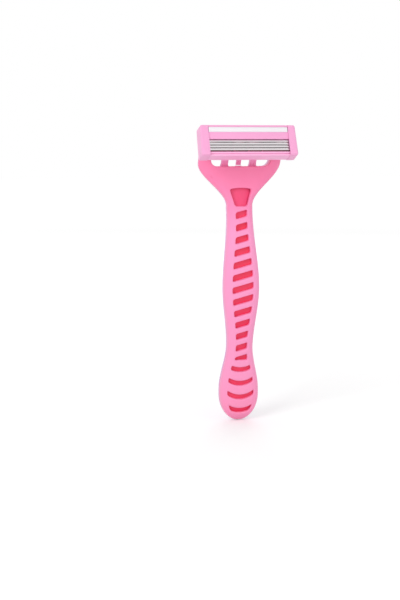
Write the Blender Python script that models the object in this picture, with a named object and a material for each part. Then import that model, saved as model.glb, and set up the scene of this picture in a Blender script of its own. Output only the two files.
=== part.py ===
"""A pivoting four-blade cartridge razor: a two-shell windowed handle, a pivot fork and a blade cartridge.

Units are metres and +Z is up. The razor stands upright with its blades facing -Y. Heights in this file are
measured from the tail end, and the handle's root empty brings the grip's middle to the world origin.
"""

from math import acos, asin, cos, pi, radians, sin, sqrt, tan

import bmesh
import bpy
from mathutils import Matrix, Vector

MM = 0.001

# Clearances
SEAT_GAP = 0.3 * MM
FINE_GAP = 0.15 * MM
BLADE_GAP = 0.05 * MM
OVERCUT = 1.0 * MM
SINK = 0.2 * MM

# Handle outline: its length, the lengths between its wide and narrow stations, and the half widths there
HANDLE_LENGTH = 120.0 * MM
TAIL_TO_BULB = 14.0 * MM
BULB_TO_WAIST = 20.0 * MM
WAIST_TO_GRIP = 26.0 * MM
NECK_TO_SHOULDER = 22.0 * MM
SHOULDER_TO_ARM_TIP = 6.0 * MM
TAIL_ROUND = 12.0 * MM
BULB_HALF = 8.8 * MM
WAIST_HALF = 5.75 * MM
GRIP_HALF = 8.05 * MM
NECK_HALF = 5.65 * MM
YOKE_HALF = 18.4 * MM
FLARE_ABOVE_NECK = 3.5 * MM
TAIL_BLUNTNESS = 0.12

# Handle side profile: half thickness at the stations, and how far the middle line bows forward or back
BULB_DEPTH = 4.5 * MM
WAIST_DEPTH = 4.1 * MM
GRIP_DEPTH = 4.4 * MM
NECK_DEPTH = 4.0 * MM
YOKE_DEPTH = 3.2 * MM
ARM_DEPTH = 2.6 * MM
GRIP_BOW = 3.2 * MM
YOKE_SETBACK = 1.2 * MM
SETBACK_BELOW_SHOULDER = 4.0 * MM
ARM_LEAN = 1.6 * MM
SECTION_SQUARENESS = 3.0

# Yoke opening between the two arms
ARM_WIDTH = 5.0 * MM
ARM_ROUND = 1.3 * MM
ARM_TIP_BLUNTNESS = 0.35
YOKE_EDGE_BELOW_SHOULDER = 1.5 * MM
YOKE_CORNER = 3.0 * MM

# Front windows and the core behind them
FRONT_WALL = 1.8 * MM
WINDOW_CUT = 6.8 * MM
WINDOW_CUT_BEHIND = 0.6 * MM
CORE_RIM = 2.2 * MM
CORE_HEAD_HALF = 5.8 * MM
CORE_ABOVE_THUMB = 1.2 * MM
CORE_ABOVE_RIM = 0.4 * MM
SLOT_COUNT = 13
SLOT_HEIGHT = 2.8 * MM
SLOT_CORNER = 0.4 * MM
SLOT_MARGIN = 3.3 * MM
SLOT_SLANT = radians(14.0)
SLOTS_BELOW_WAIST = 5.5 * MM
SLOTS_BELOW_NECK = 0.1 * MM
LAST_SLOT_FOOT = 0.6 * MM
LAST_SLOT_MARGIN = 4.2 * MM
ARC_COUNT = 4
ARC_HEIGHT = 2.1 * MM
ARC_RADIUS = 10.0 * MM
ARC_MARGIN = 2.8 * MM
ARC_FROM_TAIL = 3.9 * MM
ARC_PITCH = 6.2 * MM
WIDEST_SMILE = 0.9
THUMB_ABOVE_NECK = 3.4 * MM
THUMB_HEIGHT = 7.3 * MM
THUMB_BOTTOM_HALF = 2.7 * MM
THUMB_TOP_HALF = 4.9 * MM
THUMB_ARCH = 0.5 * MM
THUMB_CORNER = 0.9 * MM

# Back shell: neck grooves, tail ribs and the grip insert
NECK_GROOVES = 6
NECK_GROOVE_PITCH = 3.06 * MM
NECK_GROOVE_RADIUS = 0.75 * MM
NECK_GROOVE_DEPTH = 0.65 * MM
NECK_GROOVES_ABOVE_NECK = 6.6 * MM
TAIL_GROOVES = 5
TAIL_GROOVE_PITCH = 3.2 * MM
TAIL_GROOVE_WIDTH = 1.1 * MM
TAIL_GROOVE_DEPTH = 0.6 * MM
TAIL_GROOVE_CUT = 5.0 * MM
TAIL_GROOVE_RADIUS = 12.0 * MM
TAIL_GROOVE_FROM_TAIL = 3.6 * MM
TAIL_GROOVE_MARGIN = 2.4 * MM
INSERT_LENGTH = 46.4 * MM
INSERT_TOP_BELOW_NECK = 12.3 * MM
INSERT_HALF = 3.15 * MM
INSERT_FOOT_HALF = 1.75 * MM
INSERT_DEPTH = 1.4 * MM
INSERT_PROUD = 0.2 * MM

# Pivot fork
PLATE_HEIGHT = 8.9 * MM
PLATE_TOP_HALF = 8.4 * MM
PLATE_FOOT_HALF = 7.7 * MM
PLATE_THICKNESS = 2.0 * MM
RAIL_WIDTH = 1.2 * MM
RAIL_RISE = 1.1 * MM
PRONG_SPACING = 12.6 * MM
PRONG_WIDTH = 3.0 * MM
PRONG_THICKNESS = 2.3 * MM
PRONG_SINK = 0.8 * MM
PRONG_FLARE = 1.1 * MM
PRONG_FLARE_HEIGHT = 1.8 * MM
PRONG_ROOT_THICKNESS = 1.96 * MM
BOSS_RADIUS = 3.1 * MM
BOSS_LENGTH = 4.1 * MM
BOSS_BESIDE_PRONG = 0.6 * MM
PIN_RADIUS = 1.2 * MM
TONGUE_WIDTH = 2.8 * MM
TONGUE_TIP_WIDTH = 2.2 * MM
TONGUE_THICKNESS = 1.1 * MM
TONGUE_TIP_THICKNESS = 0.82 * MM
TONGUE_BEND_SHARE = 0.35
TONGUE_PAD_RADIUS = 0.8 * MM
TONGUE_CONTACT_BELOW_AXIS = 1.4 * MM
TONGUE_STUB = 0.5 * MM

# Head: place and tilt of the cartridge, and its outer size (v runs up the face, w out of the face)
HEAD_TILT = radians(22.0)
PIVOT_ABOVE_SHOULDER = 8.4 * MM
PIVOT_FORWARD = 6.3 * MM
AXIS_BEHIND_FACE_MIDDLE = 5.3 * MM
AXIS_ABOVE_FACE_MIDDLE = 1.85 * MM
HEAD_WIDTH = 42.0 * MM
HEAD_HEIGHT = 13.5 * MM
HEAD_DEPTH = 6.5 * MM
CAP_WIDTH = 3.6 * MM
CAP_WALL = 0.65 * MM
CAP_BEVEL = 0.5 * MM
SHELL_WALL = 0.85 * MM
BACK_PLATE = 2.45 * MM
WELL_TOP_BELOW_TOP = 4.3 * MM
WELL_FOOT_ABOVE_FOOT = 1.55 * MM
LOWER_BAR = 0.6 * MM
BAR_BELOW_FACE = 2.25 * MM

# Frame details
WINDOW_HEIGHT = 2.8 * MM
WINDOW_TOP_BELOW_TOP = 4.45 * MM
CENTRE_RIB = 1.6 * MM
LUG_THICKNESS = 1.3 * MM
LUG_HALF = 2.3 * MM
RIB_THICKNESS = 1.0 * MM
RIB_HEIGHT = 1.4 * MM
END_BLOCK = 1.6 * MM

# Cover, strip and guard
COVER_NOSE_ABOVE_MIDDLE = 0.3 * MM
COVER_INSET = 0.3 * MM
COVER_SLOPE = 0.25 * MM
COVER_ROUND = 0.5 * MM
STRIP_WIDTH = 2.0 * MM
STRIP_BELOW_TOP = 1.15 * MM
STRIP_SEAT_DEPTH = 0.75 * MM
STRIP_CROWN = 0.2 * MM
GUARD_NOSE = 1.75 * MM
GUARD_CREST = 0.85 * MM
GUARD_GROOVE = 0.25 * MM
GUARD_CREST_ROUND = 0.15 * MM
GUARD_EDGE_ROUND = 0.45 * MM

# Blades and their supports
BLADE_COUNT = 4
BLADE_PITCH = 1.24 * MM
FIRST_EDGE_BELOW_MIDDLE = 0.65 * MM
EDGE_BELOW_FACE = 0.9 * MM
BLADE_WIDTH = 1.3 * MM
BLADE_THICKNESS = 0.12 * MM
BLADE_BEVEL = 0.4 * MM
BLADE_ANGLE = radians(16.0)
BLADE_IN_CAP = 1.3 * MM
SUPPORT_THICKNESS = 0.2 * MM
SUPPORT_SETBACK = 0.55 * MM

# Faces that meet at more than this are shaded with a sharp edge
SHARP_ANGLE = radians(35.0)

# Colours (linear RGB)
PINK = (0.96, 0.24, 0.47)
HOT_PINK = (0.88, 0.10, 0.24)
LAVENDER = (0.78, 0.42, 0.73)
LIGHT_PINK = (0.98, 0.46, 0.72)
WHITE = (0.88, 0.86, 0.89)
STEEL = (0.72, 0.71, 0.72)

# Derived heights above the tail
BULB = TAIL_TO_BULB
WAIST = BULB + BULB_TO_WAIST
GRIP = WAIST + WAIST_TO_GRIP
ARM_TIP = HANDLE_LENGTH
SHOULDER = ARM_TIP - SHOULDER_TO_ARM_TIP
NECK = SHOULDER - NECK_TO_SHOULDER
FLARE = NECK + FLARE_ABOVE_NECK
YOKE_EDGE = SHOULDER - YOKE_EDGE_BELOW_SHOULDER
SETBACK_HEIGHT = SHOULDER - SETBACK_BELOW_SHOULDER
THUMB_FOOT = NECK + THUMB_ABOVE_NECK
CORE_TOP = THUMB_FOOT + THUMB_HEIGHT + CORE_ABOVE_THUMB
INSERT_TOP = NECK - INSERT_TOP_BELOW_NECK
INSERT_FOOT = INSERT_TOP - INSERT_LENGTH
PLATE_TOP = YOKE_EDGE - SEAT_GAP
PLATE_FOOT = PLATE_TOP - PLATE_HEIGHT
PIVOT = Vector((0.0, -PIVOT_FORWARD, SHOULDER + PIVOT_ABOVE_SHOULDER))
SEAM = SEAT_GAP / 2

# Derived places on the head, measured from the middle of the cartridge
HEAD_TOP = HEAD_HEIGHT / 2
HEAD_FOOT = -HEAD_HEIGHT / 2
HEAD_FRONT = HEAD_DEPTH / 2
HEAD_BACK = -HEAD_DEPTH / 2
HEAD_END = HEAD_WIDTH / 2
CAP_INNER = HEAD_END - CAP_WIDTH
BODY_END = CAP_INNER - SEAT_GAP
FRAME_END = HEAD_END - CAP_WALL - SEAT_GAP
FRAME_TOP = HEAD_TOP - SHELL_WALL - SEAT_GAP
FRAME_FOOT = HEAD_FOOT + CAP_WALL + SEAT_GAP
WELL_FLOOR = HEAD_BACK + BACK_PLATE
WELL_TOP = HEAD_TOP - WELL_TOP_BELOW_TOP
WELL_FOOT = HEAD_FOOT + WELL_FOOT_ABOVE_FOOT
BAR_FRONT = HEAD_FRONT - BAR_BELOW_FACE
EDGE_FRONT = HEAD_FRONT - EDGE_BELOW_FACE
PRONG_X = PRONG_SPACING / 2
BOSS_START = PRONG_X + BOSS_BESIDE_PRONG
BOSS_END = BOSS_START + BOSS_LENGTH
LUG_START = BOSS_END + SEAT_GAP
LUG_END = LUG_START + LUG_THICKNESS


def eased(height, stations):
    """Value at a height, easing smoothly from each (height, value) station to the next."""
    lower = stations[0]
    for upper in stations[1:]:
        if height <= upper[0]:
            t = max(0.0, (height - lower[0]) / (upper[0] - lower[0]))
            return lower[1] + (upper[1] - lower[1]) * t * t * (3 - 2 * t)
        lower = upper
    return lower[1]


def tail_scale(height, start=0.0):
    """Share of the full section left at a height in the rounded tail: a quarter ellipse with a blunt tip."""
    if height >= TAIL_ROUND:
        return 1.0
    below = min(1.0, (TAIL_ROUND - height) / (TAIL_ROUND - start))
    return sqrt(1 - below * below * (1 - TAIL_BLUNTNESS ** 2))


def half_width(height):
    """Half width of the handle: bulb, waist, grip and neck, then the flare out to the yoke."""
    stations = ((BULB, BULB_HALF), (WAIST, WAIST_HALF), (GRIP, GRIP_HALF), (NECK, NECK_HALF),
                (FLARE, NECK_HALF), (SHOULDER, YOKE_HALF))
    return eased(height, stations) * tail_scale(height)


def depth(height):
    """Half thickness of the handle, from its parting plane to its crown."""
    stations = ((BULB, BULB_DEPTH), (WAIST, WAIST_DEPTH), (GRIP, GRIP_DEPTH), (NECK, NECK_DEPTH),
                (SHOULDER, YOKE_DEPTH), (ARM_TIP, ARM_DEPTH))
    return eased(height, stations) * tail_scale(height)


def parting(height):
    """Y of the parting plane: forward at the grip, back at the yoke, forward again at the arms' tips."""
    stations = ((BULB, 0.0), (GRIP, -GRIP_BOW), (SETBACK_HEIGHT, YOKE_SETBACK), (ARM_TIP, -ARM_LEAN))
    return eased(height, stations)


def crown(height, x):
    """Distance from the parting plane to the handle's surface at one side position."""
    share = min(1.0, abs(x) / half_width(height))
    return depth(height) * (1 - share ** SECTION_SQUARENESS) ** (1 / SECTION_SQUARENESS)


def steps(start, end, count):
    """Evenly spaced values from start to end, both included."""
    return [start + (end - start) * i / count for i in range(count + 1)]


def handle_heights():
    """Heights of the handle's sections: close together in the tail, the flare and the arms' tips."""
    tail = [TAIL_ROUND * (1 - cos(pi / 2 * i / 7)) for i in range(7)]
    body = steps(TAIL_ROUND, NECK, 26)
    flare = steps(NECK, SHOULDER, 14)[1:]
    arms = [SHOULDER + SHOULDER_TO_ARM_TIP * sin(pi / 2 * i / 5) for i in range(1, 6)]
    return tail + body + flare + arms


def arm_tip_scale(height):
    """Share of the thickness left in the rounded end of a yoke arm."""
    above = max(0.0, height - (ARM_TIP - ARM_ROUND)) / ARM_ROUND
    return sqrt(1 - above * above * (1 - ARM_TIP_BLUNTNESS ** 2))


def half_section(height, side, count=12):
    """Ring of one shell: half a squared ellipse in front (side -1) or behind (side 1) the parting plane."""
    tip = arm_tip_scale(height)
    a = half_width(height) - ARM_ROUND * (1 - tip)
    b = depth(height) * tip - SEAM
    y = parting(height) + side * SEAM
    power = 2 / SECTION_SQUARENESS
    ring = []
    for i in range(count + 1):
        angle = pi * i / count
        x = abs(cos(angle)) ** power * (1 if angle < pi / 2 else -1)
        ring.append((a * x, y + side * b * sin(angle) ** power))
    return ring


def skin(bm, rings):
    """Solid over a row of rings of vertices: faces between neighbours, and a flat face at each end."""
    size = len(rings[0])
    for lower, upper in zip(rings, rings[1:]):
        for i in range(size):
            j = (i + 1) % size
            bm.faces.new((lower[i], lower[j], upper[j], upper[i]))
    bm.faces.new(rings[0])
    bm.faces.new(rings[-1])
    bmesh.ops.recalc_face_normals(bm, faces=bm.faces)
    return bm


def loft(heights, ring_at):
    """Solid through horizontal rings of (x, y) points, one for each height."""
    bm = bmesh.new()
    return skin(bm, [[bm.verts.new((x, y, height)) for x, y in ring_at(height)] for height in heights])


def prism(points, run):
    """Solid swept by a closed loop of 3-D points along a vector."""
    bm = bmesh.new()
    face = bm.faces.new([bm.verts.new(point) for point in points])
    swept = bmesh.ops.extrude_face_region(bm, geom=[face])
    moved = [item for item in swept["geom"] if isinstance(item, bmesh.types.BMVert)]
    bmesh.ops.translate(bm, verts=moved, vec=run)
    bmesh.ops.recalc_face_normals(bm, faces=bm.faces)
    return bm


def prism_y(outline, front, back):
    """Prism of an (x, height) outline between two Y positions."""
    return prism([(x, front, height) for x, height in outline], (0, back - front, 0))


def prism_x(outline, start, end):
    """Prism of a (y, z) outline between two X positions."""
    return prism([(start, y, z) for y, z in outline], (end - start, 0, 0))


def rod_x(radius, start, end, y, z, segments=20):
    """Round rod along X."""
    outline = [(y + radius * cos(2 * pi * i / segments), z + radius * sin(2 * pi * i / segments))
               for i in range(segments)]
    return prism_x(outline, start, end)


def block(low, high):
    """Box between two corners."""
    bm = bmesh.new()
    low = Vector(low)
    high = Vector(high)
    bmesh.ops.create_cube(bm, size=1.0, matrix=Matrix.Translation((low + high) / 2) @ Matrix.Diagonal(
        (*(high - low), 1.0)))
    return bm


def joined(parts):
    """One mesh from several solids that stay apart."""
    whole = bmesh.new()
    for part in parts:
        mesh = bpy.data.meshes.new("part")
        part.to_mesh(mesh)
        part.free()
        whole.from_mesh(mesh)
        bpy.data.meshes.remove(mesh)
    return whole


def rounded(corners, radii, segments=4):
    """Outline with each corner replaced by an arc tangent to its two sides; a radius of 0 keeps a corner."""
    outline = []
    for i, corner in enumerate(corners):
        here = Vector(corner)
        radius = radii[i] if isinstance(radii, (list, tuple)) else radii
        if radius == 0:
            outline.append(tuple(here))
            continue
        before = (Vector(corners[i - 1]) - here).normalized()
        after = (Vector(corners[(i + 1) % len(corners)]) - here).normalized()
        half = acos(max(-1.0, min(1.0, before.dot(after)))) / 2
        centre = here + (before + after).normalized() * (radius / sin(half))
        start = here + before * (radius / tan(half)) - centre
        end = here + after * (radius / tan(half)) - centre
        for k in range(segments + 1):
            blend = start.lerp(end, k / segments)
            outline.append(tuple(centre + blend.normalized() * radius))
    return outline


def material(name, colour, roughness, metallic=0.0):
    """Principled material of one colour."""
    made = bpy.data.materials.new(name)
    made.use_nodes = True
    shader = made.node_tree.nodes["Principled BSDF"]
    shader.inputs["Base Color"].default_value = (*colour, 1.0)
    shader.inputs["Roughness"].default_value = roughness
    shader.inputs["Metallic"].default_value = metallic
    return made


def empty(name, location, parent=None, tilt=0.0):
    """Empty that places a group of pieces, on the group's joint axis where it moves."""
    made = bpy.data.objects.new(name, None)
    made.location = location
    made.rotation_euler.x = tilt
    made.parent = parent
    bpy.context.scene.collection.objects.link(made)
    return made


def piece(name, bm, finish, parent):
    """Named object from a solid, smooth shaded where its faces meet at a low angle."""
    mesh = bpy.data.meshes.new(name)
    bm.to_mesh(mesh)
    bm.free()
    mesh.shade_smooth()
    mesh.set_sharp_from_angle(angle=SHARP_ANGLE)
    made = bpy.data.objects.new(name, mesh)
    made.parent = parent
    if finish:
        mesh.materials.append(finish)
    bpy.context.scene.collection.objects.link(made)
    return made


def combine(target, bm, operation):
    """Cut a solid from an object, or join it on, with a Boolean that stays live."""
    tool = piece(f"{target.name}_{operation.lower()}_{len(target.modifiers)}", bm, None, target.parent)
    tool.hide_render = True
    tool.display_type = "WIRE"
    change = target.modifiers.new(tool.name, "BOOLEAN")
    change.operation = operation
    change.solver = "EXACT"
    change.object = tool


def cut(target, bm):
    """Take a solid away from an object."""
    combine(target, bm, "DIFFERENCE")


def join(target, bm):
    """Add a solid to an object."""
    combine(target, bm, "UNION")


def slot_outline(index):
    """Slanted window of the ladder, counted from the tail; its ends follow the handle's outline.

    The lowest one has a level foot, because the smile-shaped windows start below it.
    """
    first = WAIST - SLOTS_BELOW_WAIST
    pitch = (NECK - SLOTS_BELOW_NECK - first) / (SLOT_COUNT - 1)
    middle = first + pitch * index
    margin = LAST_SLOT_MARGIN if index == 0 else SLOT_MARGIN
    corners = []
    for side, level in ((-1, -1), (1, -1), (1, 1), (-1, 1)):
        slant = tan(SLOT_SLANT)
        edge = middle + level * SLOT_HEIGHT / 2
        if index == 0 and level < 0:
            slant = 0.0
            edge = middle - LAST_SLOT_FOOT
        half = half_width(edge) - margin
        corners.append((side * half, edge + side * half * slant))
    return rounded(corners, SLOT_CORNER, 2)


def smile_outline(foot, radius, thickness, margin, count=10):
    """Band of a circle that is centred above it, so that its ends turn up."""
    middle = foot + radius
    half = half_width(foot + thickness) - margin
    reach = asin(min(WIDEST_SMILE, half / radius))
    angles = steps(-reach, reach, count)
    lower = [(radius * sin(a), middle - radius * cos(a)) for a in angles]
    inner = radius - thickness
    upper = [(inner * sin(a), middle - inner * cos(a)) for a in reversed(angles)]
    return lower + upper


def thumb_outline():
    """Thumb window: narrow at its foot, wide at its slightly arched top."""
    top = THUMB_FOOT + THUMB_HEIGHT
    corners = [(-THUMB_BOTTOM_HALF, THUMB_FOOT), (THUMB_BOTTOM_HALF, THUMB_FOOT), (THUMB_TOP_HALF, top),
               (0.0, top + THUMB_ARCH), (-THUMB_TOP_HALF, top)]
    return rounded(corners, THUMB_CORNER, 3)


def window_prism(outline):
    """Cutter through the front wall at a window, from well in front to just behind the wall."""
    middle = sum(height for x, height in outline) / len(outline)
    wall_back = parting(middle) - depth(middle) + FRONT_WALL
    return prism_y(outline, wall_back - WINDOW_CUT, wall_back + WINDOW_CUT_BEHIND)


def pocket_half(height):
    """Half width of the core's pocket: a rim inside the outline, and limited above the neck."""
    if height < TAIL_ROUND:
        return (BULB_HALF - CORE_RIM) * tail_scale(height, CORE_RIM)
    if height > NECK:
        return min(half_width(height) - CORE_RIM, CORE_HEAD_HALF)
    return half_width(height) - CORE_RIM


def core_section(height, gap):
    """Section of the core, or with no gap of the pocket that holds it."""
    front = parting(height) - (depth(height) - FRONT_WALL) + gap
    back = parting(height) - SEAM + (0.0 if gap else OVERCUT)
    half = pocket_half(height) - gap
    return [(-half, front), (half, front), (half, back), (-half, back)]


def yoke_gap():
    """Cutter between the yoke's arms: a wide U with round corners that flares at the arms' tips."""
    inner = YOKE_HALF - ARM_WIDTH
    top = ARM_TIP + OVERCUT
    corners = rounded([(-inner, top), (-inner, YOKE_EDGE), (inner, YOKE_EDGE), (inner, top)], YOKE_CORNER, 5)
    keep = [point for point in corners if point[1] < ARM_TIP - ARM_ROUND]
    flare = inner + ARM_ROUND / 2
    outline = [(-flare, top), (-flare, ARM_TIP), (-inner, ARM_TIP - ARM_ROUND)]
    outline += keep
    outline += [(inner, ARM_TIP - ARM_ROUND), (flare, ARM_TIP), (flare, top)]
    reach = 2 * YOKE_DEPTH + ARM_LEAN
    return prism_y(outline, -reach - OVERCUT, reach + OVERCUT)


def insert_half(height):
    """Half width of the teardrop insert: narrow foot, wide round head."""
    round_from = INSERT_TOP - INSERT_HALF
    if height > round_from:
        above = min(1.0, (height - round_from) / INSERT_HALF)
        return INSERT_HALF * sqrt(1 - above * above * (1 - TAIL_BLUNTNESS ** 2))
    return eased(height, ((INSERT_FOOT, INSERT_FOOT_HALF), (round_from, INSERT_HALF)))


def insert_heights(extra):
    """Heights of the insert's sections, or of its recess with the gap around it."""
    round_from = INSERT_TOP - INSERT_HALF
    straight = steps(INSERT_FOOT - extra, round_from, 12)
    top = [round_from + (INSERT_HALF + extra) * sin(pi / 2 * i / 5) for i in range(1, 6)]
    return straight + top


def insert_section(height, gap, rise):
    """Section of the insert, crowned like the back shell; with a gap, of its recess."""
    half = insert_half(min(height, INSERT_TOP)) + gap
    floor = parting(height) + depth(height) - INSERT_DEPTH - gap
    ring = [(-half, floor), (half, floor)]
    for share in (1.0, 0.5, 0.0, -0.5, -1.0):
        ring.append((half * share, parting(height) + crown(height, half * share) + rise))
    return ring


def neck_groove(index):
    """Cutter of one cross groove on the back of the neck: a shallow round trough."""
    height = NECK + NECK_GROOVES_ABOVE_NECK - NECK_GROOVE_PITCH * index
    y = parting(height) + depth(height) + NECK_GROOVE_RADIUS - NECK_GROOVE_DEPTH
    reach = half_width(height)
    return rod_x(NECK_GROOVE_RADIUS, -reach, reach, y, height, 10)


def tail_groove(index):
    """Cutter of one smile-shaped groove on the back of the tail; what is left between them are the ribs."""
    foot = TAIL_GROOVE_FROM_TAIL + TAIL_GROOVE_PITCH * index
    outline = smile_outline(foot, TAIL_GROOVE_RADIUS, TAIL_GROOVE_WIDTH, TAIL_GROOVE_MARGIN, 8)
    y = parting(foot) + depth(foot + TAIL_GROOVE_WIDTH) - TAIL_GROOVE_DEPTH
    return prism_y(outline, y, y + TAIL_GROOVE_CUT)


def plate_half(height):
    """Half width of the fork's plate, a little wider at its top."""
    return eased(height, ((PLATE_FOOT, PLATE_FOOT_HALF), (PLATE_TOP, PLATE_TOP_HALF)))


def plate_section(height, inner, outer, front, back):
    """Rectangle between two side positions and two distances behind the parting plane."""
    y = parting(height)
    return [(inner, y + front), (outer, y + front), (outer, y + back), (inner, y + back)]


def bezier(start, bend, end, count):
    """Points of a quadratic curve in the (y, z) plane."""
    points = []
    for i in range(count + 1):
        t = i / count
        points.append(start * (1 - t) ** 2 + bend * (2 * t * (1 - t)) + end * t * t)
    return points


def thick_path(points, first, last):
    """Outline of a bar that follows a path, with its thickness changing evenly from first to last."""
    front = []
    back = []
    for i, point in enumerate(points):
        along = (points[min(i + 1, len(points) - 1)] - points[max(i - 1, 0)]).normalized()
        normal = Vector((-along.y, along.x))
        half = (first + (last - first) * i / (len(points) - 1)) / 2
        front.append(tuple(point + normal * half))
        back.append(tuple(point - normal * half))
    return front + back[::-1]


def prong_width(height):
    """Width of a prong: it flares out in a round where it leaves the plate."""
    above = min(1.0, max(0.0, (height - PLATE_TOP) / PRONG_FLARE_HEIGHT))
    return PRONG_WIDTH + PRONG_FLARE * (1 - above) ** 2


def prong(points, x):
    """Prong along a path in the (y, z) plane: a rectangle that flares at its root and thickens to its tip."""
    bm = bmesh.new()
    rings = []
    last = len(points) - 1
    for i, point in enumerate(points):
        along = (points[min(i + 1, last)] - points[max(i - 1, 0)]).normalized()
        thickness = PRONG_ROOT_THICKNESS + (PRONG_THICKNESS - PRONG_ROOT_THICKNESS) * i / last
        front = point + Vector((-along.y, along.x)) * (thickness / 2)
        back = point - Vector((-along.y, along.x)) * (thickness / 2)
        left = x - prong_width(point.y) / 2
        right = x + prong_width(point.y) / 2
        corners = ((left, front), (right, front), (right, back), (left, back))
        rings.append([bm.verts.new((side, place.x, place.y)) for side, place in corners])
    return skin(bm, rings)


def head_point(v, w):
    """(y, z) in the head's own frame, whose origin is the pivot, of a place on the cartridge's section."""
    return (-(w + AXIS_BEHIND_FACE_MIDDLE), v - AXIS_ABOVE_FACE_MIDDLE)


def head_prism(outline, start, end):
    """Prism along X of a (v, w) outline of the cartridge."""
    return prism_x([head_point(v, w) for v, w in outline], start, end)


def head_block(start, end, v_low, v_high, w_low, w_high):
    """Box on the cartridge between two X, two v and two w positions."""
    return head_prism([(v_low, w_low), (v_high, w_low), (v_high, w_high), (v_low, w_high)], start, end)


def blade_edge(index):
    """Cutting edge of a blade on the cartridge's section, counted from the cover down."""
    return Vector((-FIRST_EDGE_BELOW_MIDDLE - BLADE_PITCH * index, EDGE_FRONT))


def on_blade(index, along, above):
    """Place on the section, measured from a blade's edge along the blade and above its middle plane."""
    back = Vector((cos(BLADE_ANGLE), -sin(BLADE_ANGLE)))
    up = Vector((sin(BLADE_ANGLE), cos(BLADE_ANGLE)))
    return blade_edge(index) + back * along + up * above


def leg_place(index):
    """Side of a blade support's leg that faces the cover."""
    return on_blade(index, BLADE_WIDTH, -BLADE_THICKNESS / 2 - BLADE_GAP)


def build_handle(root):
    """The two shells, the core between them and the grip insert."""
    heights = handle_heights()
    pink = material("pink_plastic", PINK, 0.38)
    lavender = material("lavender_plastic", LAVENDER, 0.42)
    hot = material("hot_pink_core", HOT_PINK, 0.4)
    insert_pink = material("insert_pink", PINK, 0.45)
    core_start = CORE_RIM + CORE_ABOVE_RIM

    front = piece("handle_front_shell", loft(heights, lambda h: half_section(h, -1)), pink, root)
    cut(front, yoke_gap())
    pocket = steps(core_start - SEAT_GAP, TAIL_ROUND, 6) + steps(TAIL_ROUND, CORE_TOP + SEAT_GAP, 34)[1:]
    cut(front, loft(pocket, lambda h: core_section(h, 0.0)))
    windows = [slot_outline(i) for i in range(SLOT_COUNT)]
    for i in range(ARC_COUNT):
        windows.append(smile_outline(ARC_FROM_TAIL + ARC_PITCH * i, ARC_RADIUS, ARC_HEIGHT, ARC_MARGIN))
    windows.append(thumb_outline())
    cut(front, joined([window_prism(outline) for outline in windows]))

    core_heights = steps(core_start, TAIL_ROUND, 6) + steps(TAIL_ROUND, CORE_TOP, 34)[1:]
    piece("handle_core", loft(core_heights, lambda h: core_section(h, SEAT_GAP)), hot, root)

    back = piece("handle_back_shell", loft(heights, lambda h: half_section(h, 1)), lavender, root)
    cut(back, yoke_gap())
    cut(back, loft(insert_heights(SEAT_GAP), lambda h: insert_section(h, SEAT_GAP, 3 * OVERCUT)))
    cut(back, joined([neck_groove(i) for i in range(NECK_GROOVES)]))
    cut(back, joined([tail_groove(i) for i in range(TAIL_GROOVES)]))
    fork_window = steps(PLATE_FOOT - SEAT_GAP, YOKE_EDGE + OVERCUT, 6)
    reach = YOKE_DEPTH + 2 * OVERCUT
    cut(back, loft(fork_window, lambda h: plate_section(h, -plate_half(h) - SEAT_GAP,
                                                        plate_half(h) + SEAT_GAP, -OVERCUT, reach)))

    piece("back_grip_insert", loft(insert_heights(0.0), lambda h: insert_section(h, 0.0, INSERT_PROUD)),
          insert_pink, root)


def build_fork(root):
    """Fork plate with a raised border, prongs, pivot bosses and pins; returns the tongue's hinge place."""
    finish = material("fork_pink", LIGHT_PINK, 0.36)
    field_back = SEAM + PLATE_THICKNESS
    border_back = field_back + RAIL_RISE
    heights = steps(PLATE_FOOT, PLATE_TOP, 5)
    fork = piece("pivot_fork", loft(heights, lambda h: plate_section(h, -plate_half(h), plate_half(h), SEAM,
                                                                     border_back)), finish, root)
    field = steps(PLATE_FOOT + RAIL_WIDTH, PLATE_TOP + OVERCUT, 5)
    cut(fork, loft(field, lambda h: plate_section(h, RAIL_WIDTH - plate_half(h), plate_half(h) - RAIL_WIDTH,
                                                  field_back, border_back + OVERCUT)))
    middle = parting(PLATE_TOP) + SEAM + PLATE_THICKNESS / 2
    foot = Vector((middle, PLATE_TOP - PRONG_SINK))
    bend = Vector((middle, PLATE_TOP + 2 * PLATE_THICKNESS))
    path = bezier(foot, bend, Vector((PIVOT.y, PIVOT.z)), 14)
    for side in (-1, 1):
        join(fork, prong(path, side * PRONG_X))
        ends = sorted((side * BOSS_START, side * BOSS_END))
        join(fork, rod_x(BOSS_RADIUS, *ends, PIVOT.y, PIVOT.z))
        ends = sorted((side * (BOSS_END - OVERCUT), side * (LUG_END - FINE_GAP)))
        join(fork, rod_x(PIN_RADIUS, *ends, PIVOT.y, PIVOT.z, 16))
    stub_half = TONGUE_WIDTH / 2
    join(fork, block((-stub_half, middle - TONGUE_THICKNESS / 2, PLATE_TOP - OVERCUT),
                     (stub_half, middle + TONGUE_THICKNESS / 2, PLATE_TOP + TONGUE_STUB)))
    return Vector((0.0, middle, PLATE_TOP + TONGUE_STUB + SEAT_GAP / 2))


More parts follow.
